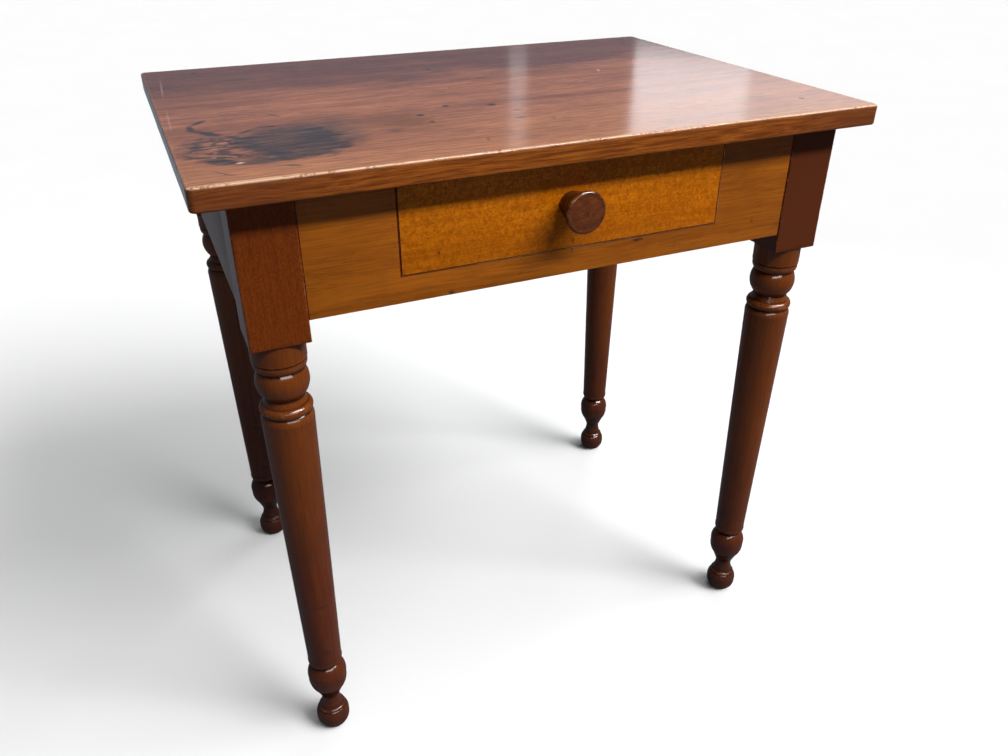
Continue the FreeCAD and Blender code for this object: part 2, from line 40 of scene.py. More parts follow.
print("frame loaded:", len(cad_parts), "pieces of the solid model")


# helpers for node trees

def feed(tree, sockets, values):
    # links a socket to another, or sets its own value
    for key, value in values.items():
        if isinstance(value, bpy.types.NodeSocket):
            tree.links.new(value, sockets[key])
        else:
            sockets[key].default_value = value


def put(tree, kind, values=None, **settings):
    # adds one node and feeds its sockets
    node = tree.nodes.new(kind)
    for key, value in settings.items():
        setattr(node, key, value)
    feed(tree, node.inputs, values or {})
    return node


def putOne(tree, kind, values=None, **settings):
    # the same, for a node of which only the first output is used
    return put(tree, kind, values, **settings).outputs[0]


def sums(tree, operation, a, b=0.0, clamp=False):
    return putOne(tree, "ShaderNodeMath", {0: a, 1: b}, operation=operation, use_clamp=clamp)


def times(tree, a, b, clamp=False):
    return sums(tree, "MULTIPLY", a, b, clamp)


def plus(tree, a, b, clamp=False):
    return sums(tree, "ADD", a, b, clamp)


def minus(tree, a, b):
    return sums(tree, "SUBTRACT", a, b)


def larger(tree, a, b):
    return sums(tree, "MAXIMUM", a, b)


def unsigned(tree, value):
    return sums(tree, "ABSOLUTE", value)


def vectors(tree, operation, a, b=(0, 0, 0)):
    return putOne(tree, "ShaderNodeVectorMath", {0: a, 1: b}, operation=operation)


def scaled(tree, vector, size):
    return putOne(tree, "ShaderNodeVectorMath", {0: vector, "Scale": size}, operation="SCALE")


def joined(tree, x, y, z=0.0):
    return putOne(tree, "ShaderNodeCombineXYZ", {0: x, 1: y, 2: z})


def split(tree, vector):
    return put(tree, "ShaderNodeSeparateXYZ", {0: vector}).outputs


def painted(tree, name):
    # a share that is stored on the mesh
    return put(tree, "ShaderNodeAttribute", attribute_name=name).outputs["Fac"]


def spread(tree, value, low, high, toLow=0.0, toHigh=1.0, soft=True):
    # maps low..high onto toLow..toHigh, with soft ends
    values = {0: value, 1: low, 2: high, 3: toLow, 4: toHigh}
    return putOne(tree, "ShaderNodeMapRange", values, interpolation_type="SMOOTHSTEP" if soft else "LINEAR")


def blendColour(tree, share, a, b, mode="MIX"):
    node = put(tree, "ShaderNodeMix", {0: share}, data_type="RGBA", blend_type=mode)
    for key, value in ((6, a), (7, b)):
        feed(tree, node.inputs, {key: (*value, 1) if isinstance(value, tuple) else value})
    return node.outputs[2]


def wash(tree, colour, tone, share, strength):
    # lays a tone over a colour
    return blendColour(tree, times(tree, share, strength), colour, tone)


def colourBand(tree, share, places, tones):
    node = put(tree, "ShaderNodeValToRGB", {0: share})
    node.color_ramp.elements.new(0.5)
    for element, place, tone in zip(node.color_ramp.elements, places, tones):
        element.position = place
        element.color = (*tone, 1)
    return node.outputs[0]


def toneBand(tree, share, tones, edge=0.1):
    # dark, middle and light
    return colourBand(tree, share, (edge, 0.5, 1 - edge), tones)


def grainNoise(tree, vector, size, detail=3.0, rough=0.55, twist=0.0):
    values = {"Vector": vector, "Scale": size, "Detail": detail, "Roughness": rough, "Distortion": twist}
    return putOne(tree, "ShaderNodeTexNoise", values)


def stretch(tree, vector, scale, turn=(0, 0, 0), shift=(0, 0, 0)):
    values = {"Vector": vector, "Scale": scale, "Rotation": turn, "Location": shift}
    return putOne(tree, "ShaderNodeMapping", values)


def newGroup(name, inputs, outputs, kind="ShaderNodeTree"):
    # each input is a label, a kind and perhaps a value
    tree = bpy.data.node_groups.new(name, kind)
    for label, sort, *value in inputs:
        socket = tree.interface.new_socket(label, in_out="INPUT", socket_type="NodeSocket" + sort)
        if value:
            socket.default_value = value[0]
    for label, sort in outputs:
        tree.interface.new_socket(label, in_out="OUTPUT", socket_type="NodeSocket" + sort)
    return tree, tree.nodes.new("NodeGroupInput").outputs, tree.nodes.new("NodeGroupOutput").inputs


def useGroup(tree, group, values):
    node = put(tree, "ShaderNodeGroup", node_tree=group)
    feed(tree, node.inputs, values)
    return node.outputs


# effects that several woods share

def makeWoodGrain():
    # grain along X: broad figure, fine fibre, short dark pores and flecks across the grain
    tree, given, result = newGroup(
        "woodGrain",
        [("Vector", "Vector"), ("Figure size", "Float", 26.0), ("Fibre size", "Float", 420.0),
         ("Pore amount", "Float", 0.5), ("Fleck size", "Float", 300.0), ("Fleck narrowing", "Float", 0.5),
         ("Wander", "Float", 0.02)],
        [(label, "Float") for label in ("Figure", "Fibre", "Pores", "Flecks", "Height")])
    slow = {"Vector": stretch(tree, given["Vector"], (3, 9, 9)), "Scale": 1.0, "Detail": 2.0}
    drift = put(tree, "ShaderNodeTexNoise", slow).outputs["Color"]
    push = scaled(tree, vectors(tree, "SUBTRACT", drift, (0.5, 0.5, 0.5)), given["Wander"])
    bent = vectors(tree, "ADD", given["Vector"], push)

    def drawn(along, size, detail, rough, twist=0.0):
        # noise that is drawn out along the grain
        return grainNoise(tree, stretch(tree, bent, along), size, detail, rough, twist)

    broad = drawn((0.06, 1, 1), given["Figure size"], 3.0, 0.5)
    middle = drawn((0.035, 1, 1), times(tree, given["Figure size"], 4.2), 4.0, 0.6)
    figure = plus(tree, times(tree, broad, 0.62), times(tree, middle, 0.38))
    fibre = drawn((0.03, 1, 1), given["Fibre size"], 6.0, 0.72)
    dashes = spread(tree, drawn((0.055, 1, 1), 950.0, 1.0, 0.5), 0.6, 0.7)
    clusters = spread(tree, drawn((0.1, 1, 1), 60.0, 2.0, 0.5), 0.35, 0.65)
    pores = times(tree, times(tree, dashes, clusters), given["Pore amount"])
    flecks = drawn(joined(tree, given["Fleck narrowing"], 1.0, 1.0), given["Fleck size"], 3.0, 0.6, 1.2)
    feed(tree, result, {
        "Figure": spread(tree, figure, 0.28, 0.72), "Fibre": spread(tree, fibre, 0.3, 0.7), "Pores": pores,
        "Flecks": spread(tree, flecks, 0.3, 0.7), "Height": minus(tree, times(tree, fibre, 0.5), pores)})
    return tree


def makePatina():
    # slow, uneven darkening of old varnish, with small rubbed specks
    tree, given, result = newGroup(
        "patina",
        [("Vector", "Vector"), ("Patch size", "Float", 9.0), ("Speck size", "Float", 160.0)],
        [(label, "Float") for label in ("Darkening", "Specks", "Haze")])
    vector, size = given["Vector"], given["Patch size"]
    patches = grainNoise(tree, vector, size, 4.0, 0.6, 0.4)
    specks = spread(tree, grainNoise(tree, vector, given["Speck size"], 2.0, 0.5), 0.66, 0.74)
    gather = spread(tree, grainNoise(tree, vector, times(tree, size, 2.5), 2.0, 0.5), 0.45, 0.65)
    haze = grainNoise(tree, vector, times(tree, size, 5.0), 5.0, 0.7)
    feed(tree, result, {"Darkening": spread(tree, patches, 0.35, 0.72), "Specks": times(tree, specks, gather),
                        "Haze": spread(tree, haze, 0.3, 0.7)})
    return tree


def makeRubbedEdge():
    # turns a painted-in share of wear and painted highlight, or of dirt and painted gap shade, into a broken, uneven
    # mask
    tree, given, result = newGroup(
        "rubbedEdge",
        [("Vector", "Vector"), ("Share", "Float", 0.0), ("Break size", "Float", 90.0), ("Amount", "Float", 0.5)],
        [("Mask", "Float")])
    coarse = grainNoise(tree, given["Vector"], given["Break size"], 5.0, 0.65)
    fine = grainNoise(tree, given["Vector"], times(tree, given["Break size"], 4.0), 3.0, 0.6)
    both = plus(tree, times(tree, coarse, 0.65), times(tree, fine, 0.35))
    low = times(tree, minus(tree, 1.0, given["Amount"]), 0.62)
    mask = spread(tree, both, low, plus(tree, low, 0.16))
    feed(tree, result, {"Mask": times(tree, mask, given["Share"], True)})
    return tree


def makeSoftSpot():
    # one turned oval on a flat face, with a soft and ragged rim
    tree, given, result = newGroup(
        "softSpot",
        [("Vector", "Vector"), ("Middle", "Vector", (0, 0, 0)), ("Half size", "Vector", (0.01, 0.01, 1)),
         ("Turn", "Float", 0.0), ("Soft rim", "Float", 0.5), ("Ragged", "Float", 0.3),
         ("Ragged size", "Float", 60.0), ("Along grain", "Float", 1.0)],
        [("Mask", "Float")])
    away = vectors(tree, "SUBTRACT", given["Vector"], given["Middle"])
    turned = putOne(tree, "ShaderNodeVectorRotate", {"Vector": away, "Angle": given["Turn"]}, rotation_type="Z_AXIS")
    flat = vectors(tree, "MULTIPLY", vectors(tree, "DIVIDE", turned, given["Half size"]), (1, 1, 0))
    reach = put(tree, "ShaderNodeVectorMath", {0: flat}, operation="LENGTH").outputs["Value"]
    drawn = vectors(tree, "MULTIPLY", given["Vector"], joined(tree, given["Along grain"], 1.0, 1.0))
    torn = minus(tree, grainNoise(tree, drawn, given["Ragged size"], 5.0, 0.65), 0.5)
    reach = plus(tree, reach, times(tree, torn, times(tree, given["Ragged"], 3.0)))
    feed(tree, result, {"Mask": spread(tree, reach, minus(tree, 1.0, given["Soft rim"]), 1.0, 1.0, 0.0)})
    return tree


woodGrain = makeWoodGrain()
patina = makePatina()
rubbedEdge = makeRubbedEdge()
softSpot = makeSoftSpot()
print("shared effects made")


# woods and metal

def newFinish(name):
    material = bpy.data.materials.new(name)
    material.use_nodes = True
    tree = material.node_tree
    tree.nodes.clear()
    output = tree.nodes.new("ShaderNodeOutputMaterial")
    shader = tree.nodes.new("ShaderNodeBsdfPrincipled")
    tree.links.new(shader.outputs[0], output.inputs[0])
    place = tree.nodes.new("ShaderNodeTexCoord").outputs["Object"]
    return material, tree, shader, place


alongX = (0, 0, 0)
alongY = (0, 0, math.pi / 2)
alongZ = (0, math.pi / 2, 0)

# what a wood has where its own entry says nothing else
commonLook = {
    "turn": alongX, "shift": (0, 0, 0), "fibreShare": 0.5, "flecks": 0.0, "fleckSize": 300.0, "fleckNarrowing": 0.5,
    "wander": 0.02, "specks": 0.25, "dirtAndGapShadeAmount": 0.85, "wear": 0.2, "shine": 0.0, "coatUneven": 0.3,
    "rippleSize": 60.0, "rippleDepth": 0.1, "coatDepth": 0.0004, "effects": (),
}


def makeWood(name, look):
    look = dict(commonLook, **look)
    material, tree, shader, place = newFinish(name)
    vector = stretch(tree, place, (1, 1, 1), look["turn"], look["shift"])
    grain = useGroup(tree, woodGrain, {
        "Vector": vector, "Figure size": look["figure"], "Fibre size": look["fibre"], "Pore amount": look["pores"],
        "Fleck size": look["fleckSize"], "Fleck narrowing": look["fleckNarrowing"], "Wander": look["wander"]})
    old = useGroup(tree, patina, {"Vector": place, "Patch size": look["patch"]})

    def rubbed(share, size, amount):
        values = {"Vector": place, "Share": painted(tree, share), "Break size": size, "Amount": amount}
        return useGroup(tree, rubbedEdge, values)["Mask"]

    fibre = times(tree, grain["Fibre"], look["fibreShare"])
    figure = plus(tree, times(tree, grain["Figure"], 1 - look["fibreShare"]), fibre)
    colour = toneBand(tree, figure, look["colours"], 0.12)
    colour = wash(tree, colour, look.get("fleckColour", look["colours"][0]), grain["Flecks"], look["flecks"])
    colour = blendColour(tree, grain["Pores"], colour, look["dark"])
    colour = wash(tree, colour, look["dark"], old["Darkening"], look["ageing"])
    colour = wash(tree, colour, look["dark"], old["Specks"], look["specks"])
    for effect in look["effects"]:
        colour = effect(tree, place, grain, colour)
    # dirt in the turnings' hollows, and painted shade of the gaps along the boards' eased edges
    colour = wash(tree, colour, look["dirtAndGapShade"], rubbed("cavity", 40.0, 0.85), look["dirtAndGapShadeAmount"])
    # the pale worn colour is wear, and along the top's front arris partly a painted highlight
    wornAndHighlight = rubbed("wear", 70.0, look["wear"])
    rough = plus(tree, spread(tree, old["Haze"], 0.0, 1.0, *look["rough"], False), times(tree, wornAndHighlight, 0.15))
    ripple = grainNoise(tree, stretch(tree, vector, (0.25, 1, 1)), look["rippleSize"], 3.0, 0.5)
    swell = times(tree, ripple, look["rippleDepth"])
    height = plus(tree, times(tree, grain["Height"], look["grainDepth"]), swell)
    feed(tree, shader.inputs, {
        "Base Color": blendColour(tree, wornAndHighlight, colour, look["bareAndHighlight"]),
        "Roughness": plus(tree, rough, times(tree, grain["Pores"], 0.2), True),
        "Specular IOR Level": look["shine"], "Coat Roughness": look["coatRough"],
        "Normal": putOne(tree, "ShaderNodeBump", {"Height": height, "Strength": 1.0, "Distance": 0.001})})
    if look["coat"] > 0:
        addVarnish(tree, shader, look, vector, grain, wornAndHighlight, swell)
    return material


def addVarnish(tree, shader, look, vector, grain, wornAndHighlight, swell):
    coat = look["coat"]
    if "thinCoat" in look:
        where, least = look["thinCoat"]
        coat = spread(tree, painted(tree, where), 0.0, 1.0, coat, least, False)
    if "sideCoat" in look:
        # the faces to the left and right were wiped with more varnish
        coat = plus(tree, coat, times(tree, painted(tree, "side"), look["sideCoat"]), True)
    coat = times(tree, coat, minus(tree, 1.0, times(tree, grain["Fibre"], look["coatUneven"])))
    lines = grainNoise(tree, stretch(tree, vector, (0.05, 1, 1)), look["fibre"] * 0.6, 4.0, 0.65)
    film = {"Height": plus(tree, swell, times(tree, lines, look["grainDepth"])), "Strength": 1.0,
            "Distance": look["coatDepth"]}
    feed(tree, shader.inputs, {"Coat Weight": times(tree, coat, minus(tree, 1.0, wornAndHighlight), True),
                               "Coat Normal": putOne(tree, "ShaderNodeBump", film)})


# ovals, in mm: middle, half length and width, turn in degrees, soft rim, ragged, strength
topMarks = {
    "soak": [
        (-256, -152, 56, 76, 0, 0.3, 0.36, 0.82), (-331, -195, 26, 12, -30, 0.5, 0.5, 0.85),
        (-296, -207, 32, 12, -4, 0.6, 0.5, 0.7), (-300, -140, 20, 36, 0, 0.7, 0.5, 0.75),
        (-290, -184, 32, 24, 0, 0.8, 0.6, 0.65), (-345, -140, 11, 9, 55, 0.6, 0.5, 0.7),
        (-354, -153, 8, 3, 20, 0.8, 0.4, 0.7), (-218, -150, 40, 58, 0, 0.5, 0.3, 0.45),
        (-212, -100, 56, 64, 0, 1, 0.3, 0.5), (-158, -154, 13, 12, 0, 0.9, 0.4, 0.45)],
    "curl": [
        (-332, -43, 17, 5, 50, 0.7, 0.2, 0.85), (-342, -65, 5, 18, 0, 0.7, 0.2, 0.8),
        (-328, -91, 28, 9, -52, 0.7, 0.3, 0.9), (-309, -113, 13, 8, -30, 0.8, 0.3, 0.8),
        (-293, -98, 21, 6, 42, 0.8, 0.3, 0.7), (-268, -86, 20, 5, 5, 0.9, 0.3, 0.55),
        (-302, -18, 11, 2.6, 12, 0.8, 0.2, 0.6), (-255, -40, 15, 3.2, -58, 0.8, 0.2, 0.65),
        (-333, -232, 20, 2.4, -53, 0.9, 0.3, 0.6), (-274, -231, 20, 4, -25, 0.9, 0.5, 0.55)],
    "spots": [
        (-113, -102, 6, 5.5, 0, 0.5, 0.2, 0.85), (-74, -73.5, 5.5, 5.5, 0, 0.5, 0.2, 0.8),
        (-111, -134, 3.5, 5, 0, 0.6, 0.2, 0.75), (-25, -88, 8, 7, 20, 0.6, 0.2, 0.8),
        (-9, -121, 8, 5, 0, 0.8, 0.2, 0.55), (-20, -154, 8.5, 4.5, 0, 0.6, 0.2, 0.7),
        (-306, 227, 7, 9, 0, 0.9, 0.4, 0.6), (-185, 186, 8, 5, 10, 0.9, 0.4, 0.45),
        (-76, 203, 3, 6, 0, 0.9, 0.3, 0.5), (1, 188, 3, 4, 0, 0.9, 0.3, 0.45),
        (-21, 130, 4.5, 7, 0, 0.7, 0.3, 0.75), (21, 53, 11, 3.5, 14, 0.8, 0.4, 0.6),
        (-36, 12, 2.5, 4, 0, 0.8, 0.3, 0.5), (310, -202, 6, 5, 30, 0.6, 0.5, 0.8),
        (318, 208, 6, 9, -20, 0.9, 0.4, 0.45), (10, -170, 4, 3, 0, 0.8, 0.4, 0.55),
        (-85, -220, 3, 8, -10, 0.9, 0.3, 0.5), (-258, 165, 30, 14, 0, 1, 0.5, 0.3),
        (-57, 150, 12, 6, 0, 1, 0.5, 0.35)],
    "nicks": [
        (180, 36, 2.2, 7, -14, 0.7, 0.35, 0.45), (-351, 150, 1.7, 76, -3, 0.9, 0.3, 0.16),
        (-358, -20, 1.7, 66, -2, 0.9, 0.3, 0.13), (-315, -205, 5, 2.6, 0, 0.6, 0.5, 0.75),
        (-334, -180, 4, 3, 0, 0.9, 0.5, 0.3), (-330, -150, 6, 3, 20, 0.9, 0.5, 0.16)],
}
frontMarks = {
    "apron": [(84, 617, 11, 2.6, 4, 0.8, 0.5, 0.85), (-133, 594, 5, 4, 0, 0.8, 0.5, 0.8),
              (3, 620, 1.8, 7, 0, 0.9, 0.5, 0.7), (236, 616, 2.5, 2.5, 0, 0.8, 0.4, 0.6)],
    "drawer": [(-145, 639, 1.8, 1.8, 0, 0.7, 0.3, 0.85), (4, 628, 1.8, 6, 0, 0.9, 0.5, 0.65)],
    "leg": [(-306, 221, 16, 3.4, -5, 0.9, 0.5, 0.6), (-306.5, 144, 8, 5, 0, 0.9, 0.4, 0.75)],
}


def ovalMask(tree, place, x, y, halfX, halfY, turn=0, soft=1.0, ragged=0.5, size=60.0, along=1.0):
    return useGroup(tree, softSpot, {
        "Vector": place, "Middle": (x / 1000, y / 1000, 0), "Half size": (halfX / 1000, halfY / 1000, 1),
        "Turn": math.radians(-turn), "Soft rim": soft, "Ragged": ragged, "Ragged size": size,
        "Along grain": along})["Mask"]


def paintMarks(tree, place, colour, marks, paint, size=90.0, along=1.0):
    for *shape, strength in marks:
        colour = wash(tree, colour, paint, ovalMask(tree, place, *shape, size, along), strength)
    return colour


def topTones(tree, place, grain, colour):
    # cooler and darker towards the back and the left end, warm in the middle and along the front
    apart = split(tree, place)
    drift = grainNoise(tree, stretch(tree, place, (1, 2.4, 1)), 5.0, 4.0, 0.6)
    back = plus(tree, apart["Y"], times(tree, minus(tree, drift, 0.5), 0.34))
    cold = blendColour(tree, grain["Fibre"], (0.05, 0.017, 0.02), (0.115, 0.045, 0.042))
    hot = blendColour(tree, grain["Fibre"], (0.26, 0.10, 0.045), (0.46, 0.19, 0.085))
    colour = wash(tree, colour, cold, spread(tree, back, 0.0, 0.16), 0.8)
    colour = wash(tree, colour, cold, spread(tree, apart["X"], -0.24, -0.36), 0.1)
    colour = wash(tree, colour, hot, spread(tree, back, -0.08, -0.3), 0.75)
    colour = wash(tree, colour, (0.15, 0.055, 0.026), ovalMask(tree, place, -140, -120, 70, 60, size=14.0), 0.85)
    # fine dark and light lines of the grain over all of it
    lines = grainNoise(tree, stretch(tree, place, (0.05, 1, 1)), 800.0, 3.0, 0.75, 0.4)
    bands = grainNoise(tree, stretch(tree, place, (0.09, 1, 1)), 230.0, 4.0, 0.65, 0.8)
    contrast = times(tree, spread(tree, lines, 0.34, 0.66, 0.78, 1.2), spread(tree, bands, 0.34, 0.66, 0.86, 1.12))
    return blendColour(tree, 1.0, colour, contrast, "MULTIPLY")


def topStains(tree, place, grain, colour):
    streaks = grainNoise(tree, stretch(tree, place, (0.14, 1, 1)), 150.0, 6.0, 0.7, 0.8)
    cloudTones = ((0.008, 0.010, 0.016), (0.03, 0.026, 0.03), (0.14, 0.07, 0.05))
    cloud = colourBand(tree, streaks, (0.38, 0.52, 0.68), cloudTones)
    ink = (0.022, 0.02, 0.028)
    colour = paintMarks(tree, place, colour, topMarks["soak"], cloud, 90.0, 0.4)
    # the ink ran into curls at the left of the stain
    folds = grainNoise(tree, stretch(tree, place, (0.45, 1, 1), shift=(0.3, 0.2, 0)), 34.0, 4.0, 0.6, 1.7)
    folds = spread(tree, unsigned(tree, minus(tree, folds, 0.5)), 0.09, 0.02)
    curled = ovalMask(tree, place, -328, -154, 42, 60, 0, 0.5, 0.3)
    colour = wash(tree, colour, ink, times(tree, folds, curled), 0.8)
    colour = paintMarks(tree, place, colour, topMarks["curl"], ink)
    colour = paintMarks(tree, place, colour, topMarks["spots"], (0.02, 0.016, 0.02), 200.0)
    return paintMarks(tree, place, colour, topMarks["nicks"], (0.78, 0.55, 0.42), 260.0)


def topRim(tree, place, grain, colour):
    # the edge of the board, more orange than its face, and the unfinished underside
    tone = toneBand(tree, grain["Fibre"], ((0.115, 0.026, 0.002), (0.205, 0.053, 0.006), (0.31, 0.088, 0.010)))
    ends = unsigned(tree, split(tree, place)["X"])
    tone = blendColour(tree, spread(tree, ends, 0.18, 0.35, 0.0, 0.6), tone, (0.105, 0.028, 0.010))
    colour = blendColour(tree, painted(tree, "rim"), colour, tone)
    return blendColour(tree, painted(tree, "under"), colour, (0.16, 0.085, 0.042))


def legTones(tree, place, grain, colour):
    # the posts are redder than the turnings, the upper turnings are golden, partly the wood's tone and partly painted
    # light, and the feet are darkest
    apart = split(tree, place)
    post = painted(tree, "post")
    speckle = plus(tree, times(tree, grain["Fibre"], 0.45), times(tree, grain["Flecks"], 0.55))
    redder = toneBand(tree, speckle, ((0.10, 0.019, 0.0028), (0.13, 0.026, 0.0035), (0.17, 0.036, 0.0045)), 0.15)
    redder = blendColour(tree, spread(tree, apart["X"], -0.2, 0.3), redder, (0.085, 0.02, 0.006))
    goldenAndLit = toneBand(tree, grain["Fibre"], ((0.115, 0.025, 0.001), (0.135, 0.031, 0.0015), (0.155, 0.039, 0.003)))
    colour = blendColour(tree, post, colour, redder)
    # the gold, partly painted light, reaches further down on the right legs
    turned = plus(tree, apart["Z"], spread(tree, apart["X"], -0.1, 0.1, 0.0, 0.13))
    upper = times(tree, spread(tree, turned, 0.22, 0.46), minus(tree, 1.0, post))
    colour = wash(tree, colour, goldenAndLit, upper, 0.75)
    return wash(tree, colour, (0.04, 0.011, 0.006), spread(tree, apart["Z"], 0.16, 0.02), 0.6)


def paintFront(marks):
    def effect(tree, place, grain, colour):
        upright = stretch(tree, place, (1, 1, 1), (-math.pi / 2, 0, 0))
        return paintMarks(tree, upright, colour, marks, (0.03, 0.014, 0.008), 260.0)
    return effect


woods = {
    "topWood": {
        "figure": 30.0, "fibre": 520.0, "fibreShare": 0.45, "pores": 0.5, "wander": 0.03, "patch": 7.0,
        "colours": [(0.175, 0.06, 0.037), (0.285, 0.105, 0.06), (0.40, 0.155, 0.085)], "ageing": 0.25, "wear": 0.45,
        # the bare colour is also the painted highlight along the front arris
        "dark": (0.035, 0.017, 0.016), "dirtAndGapShade": (0.02, 0.01, 0.008), "bareAndHighlight": (0.68, 0.46, 0.30), "rough": (0.3, 0.42),
        "coat": 0.42, "thinCoat": ("rim", 0.2), "sideCoat": 0.3, "coatRough": 0.13, "coatDepth": 0.0011,
        "grainDepth": 0.06, "rippleDepth": 0.12, "rippleSize": 45.0, "effects": [topTones, topStains, topRim]},
    "legWood": {
        "turn": alongZ, "figure": 60.0, "fibre": 620.0, "fibreShare": 0.35, "pores": 0.2, "patch": 12.0,
        "colours": [(0.072, 0.013, 0.003), (0.096, 0.019, 0.004), (0.124, 0.027, 0.006)], "ageing": 0.35,
        "dark": (0.022, 0.007, 0.004), "dirtAndGapShade": (0.010, 0.004, 0.003), "bareAndHighlight": (0.25, 0.09, 0.035), "wear": 0.22,
        "rough": (0.35, 0.48), "coat": 0.26, "thinCoat": ("post", 0.09), "sideCoat": 0.14, "coatRough": 0.15,
        "coatDepth": 0.0005, "grainDepth": 0.05, "fleckSize": 520.0,
        "effects": [legTones, paintFront(frontMarks["leg"])]},
    "apronWood": {
        "shift": (0.3, 0.1, 0.4), "figure": 70.0, "fibre": 640.0, "fibreShare": 0.55, "pores": 0.35, "patch": 10.0,
        "colours": [(0.195, 0.050, 0.003), (0.27, 0.074, 0.004), (0.345, 0.100, 0.006)], "ageing": 0.2,
        "dark": (0.07, 0.018, 0.004), "dirtAndGapShade": (0.025, 0.008, 0.004), "bareAndHighlight": (0.42, 0.18, 0.06), "rough": (0.4, 0.55),
        "coat": 0.18, "coatRough": 0.25, "grainDepth": 0.07, "effects": [paintFront(frontMarks["apron"])]},
    "sideApronWood": {
        "turn": alongY, "figure": 60.0, "fibre": 600.0, "fibreShare": 0.55, "pores": 0.3, "patch": 10.0,
        "colours": [(0.09, 0.022, 0.005), (0.13, 0.036, 0.007), (0.18, 0.054, 0.010)], "ageing": 0.3,
        "dark": (0.04, 0.013, 0.005), "dirtAndGapShade": (0.025, 0.008, 0.004), "bareAndHighlight": (0.35, 0.14, 0.05), "rough": (0.4, 0.55),
        "coat": 0.26, "coatRough": 0.22, "grainDepth": 0.07},
    "drawerFrontWood": {
        "shift": (0.1, 0.6, 0.2), "figure": 34.0, "fibre": 480.0, "fibreShare": 0.4, "pores": 0.3, "patch": 14.0,
        "colours": [(0.42, 0.104, 0.002), (0.55, 0.156, 0.003), (0.69, 0.216, 0.007)], "ageing": 0.15,
        "flecks": 0.85, "fleckSize": 230.0, "fleckNarrowing": 1.05, "fleckColour": (0.28, 0.065, 0.001),
        "dark": (0.10, 0.025, 0.003), "dirtAndGapShade": (0.02, 0.006, 0.003), "bareAndHighlight": (0.5, 0.22, 0.08), "rough": (0.4, 0.52),
        "coat": 0.13, "coatRough": 0.25, "grainDepth": 0.06, "effects": [paintFront(frontMarks["drawer"])]},
    "knobWood": {
        "turn": (0.5, 0, 0.35), "figure": 80.0, "fibre": 600.0, "pores": 0.5, "patch": 40.0,
        "colours": [(0.06, 0.013, 0.0015), (0.105, 0.024, 0.003), (0.165, 0.042, 0.006)], "ageing": 0.55,
        "dark": (0.02, 0.006, 0.002), "dirtAndGapShade": (0.010, 0.004, 0.003), "bareAndHighlight": (0.25, 0.10, 0.04),
        "rough": (0.35, 0.45), "coat": 0.32, "coatRough": 0.14, "grainDepth": 0.05, "rippleDepth": 0.08},
}
bareWood = {
    "figure": 36.0, "fibre": 520.0, "pores": 0.35, "patch": 8.0,
    "colours": [(0.30, 0.19, 0.10), (0.42, 0.28, 0.155), (0.52, 0.37, 0.22)], "ageing": 0.5, "wear": 0.3,
    "dark": (0.16, 0.09, 0.05), "dirtAndGapShade": (0.05, 0.03, 0.02), "bareAndHighlight": (0.6, 0.45, 0.3), "rough": (0.6, 0.75),
    "shine": 0.25, "coat": 0.0, "coatRough": 0.2, "grainDepth": 0.12, "rippleDepth": 0.15,
}
woods["bareWoodAcross"] = dict(bareWood, turn=alongX)
woods["bareWoodDeep"] = dict(bareWood, turn=alongY)


def makeOldSteel():
    material, tree, shader, place = newFinish("oldSteel")
    old = useGroup(tree, patina, {"Vector": place, "Patch size": 120.0, "Speck size": 900.0})
    feed(tree, shader.inputs, {
        "Base Color": blendColour(tree, old["Darkening"], (0.30, 0.28, 0.26), (0.12, 0.06, 0.035)),
        "Roughness": spread(tree, old["Haze"], 0.0, 1.0, 0.35, 0.7, False),
        "Metallic": spread(tree, old["Darkening"], 0.0, 1.0, 0.9, 0.3, False),
        "Normal": putOne(tree, "ShaderNodeBump", {"Height": old["Haze"], "Strength": 0.6, "Distance": 0.0002})})
    return material


finishes = {name: makeWood(name, look) for name, look in woods.items()}
finishes["oldSteel"] = makeOldSteel()
print("finishes made:", ", ".join(sorted(finishes)))


# shared mesh work

def newPiece(name, data):
    piece = bpy.data.objects.new(name, data)
    scene.collection.objects.link(piece)
    return piece


def clipped(value):
    return min(max(value, 0.0), 1.0)


def sharpen(mesh, degrees=35.0):
    # outward faces, smooth shading and crisp edges where the surface turns sharply
    work = bmesh.new()
    work.from_mesh(mesh)
    bmesh.ops.recalc_face_normals(work, faces=work.faces)
    work.to_mesh(mesh)
    work.free()
    for face in mesh.polygons:
        face.use_smooth = True
    mesh.set_sharp_from_angle(angle=math.radians(degrees))
    mesh.update()


def addShares(mesh, domain, shares):
    for name, values in shares.items():
        mesh.attributes.new(name, "FLOAT", domain).data.foreach_set("value", values)


def settle(piece, body, node):
    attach(piece, body)
    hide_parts(node)


def endTree(tree, made, finish, result):
    made = putOne(tree, "GeometryNodeRealizeInstances", {"Geometry": made})
    made = putOne(tree, "GeometryNodeSetMaterial", {"Geometry": made, "Material": finish})
    tree.links.new(made, result)
    return tree


def runTree(name, mesh, tree, values):
    # sets the inputs, evaluates the tree and keeps a plain mesh
    carrier = newPiece(name + "_source", mesh)
    modifier = carrier.modifiers.new("rule", "NODES")
    modifier.node_group = tree
    for item in tree.interface.items_tree:
        if item.in_out == "INPUT" and item.name in values:
            modifier[item.identifier] = values[item.name]
    result = bpy.data.meshes.new_from_object(carrier.evaluated_get(bpy.context.evaluated_depsgraph_get()))
    result.name = name
    bpy.data.objects.remove(carrier)
    return result


# turned pieces: a geometry node tree turns an outline round an axis, and squares it where the outline says so

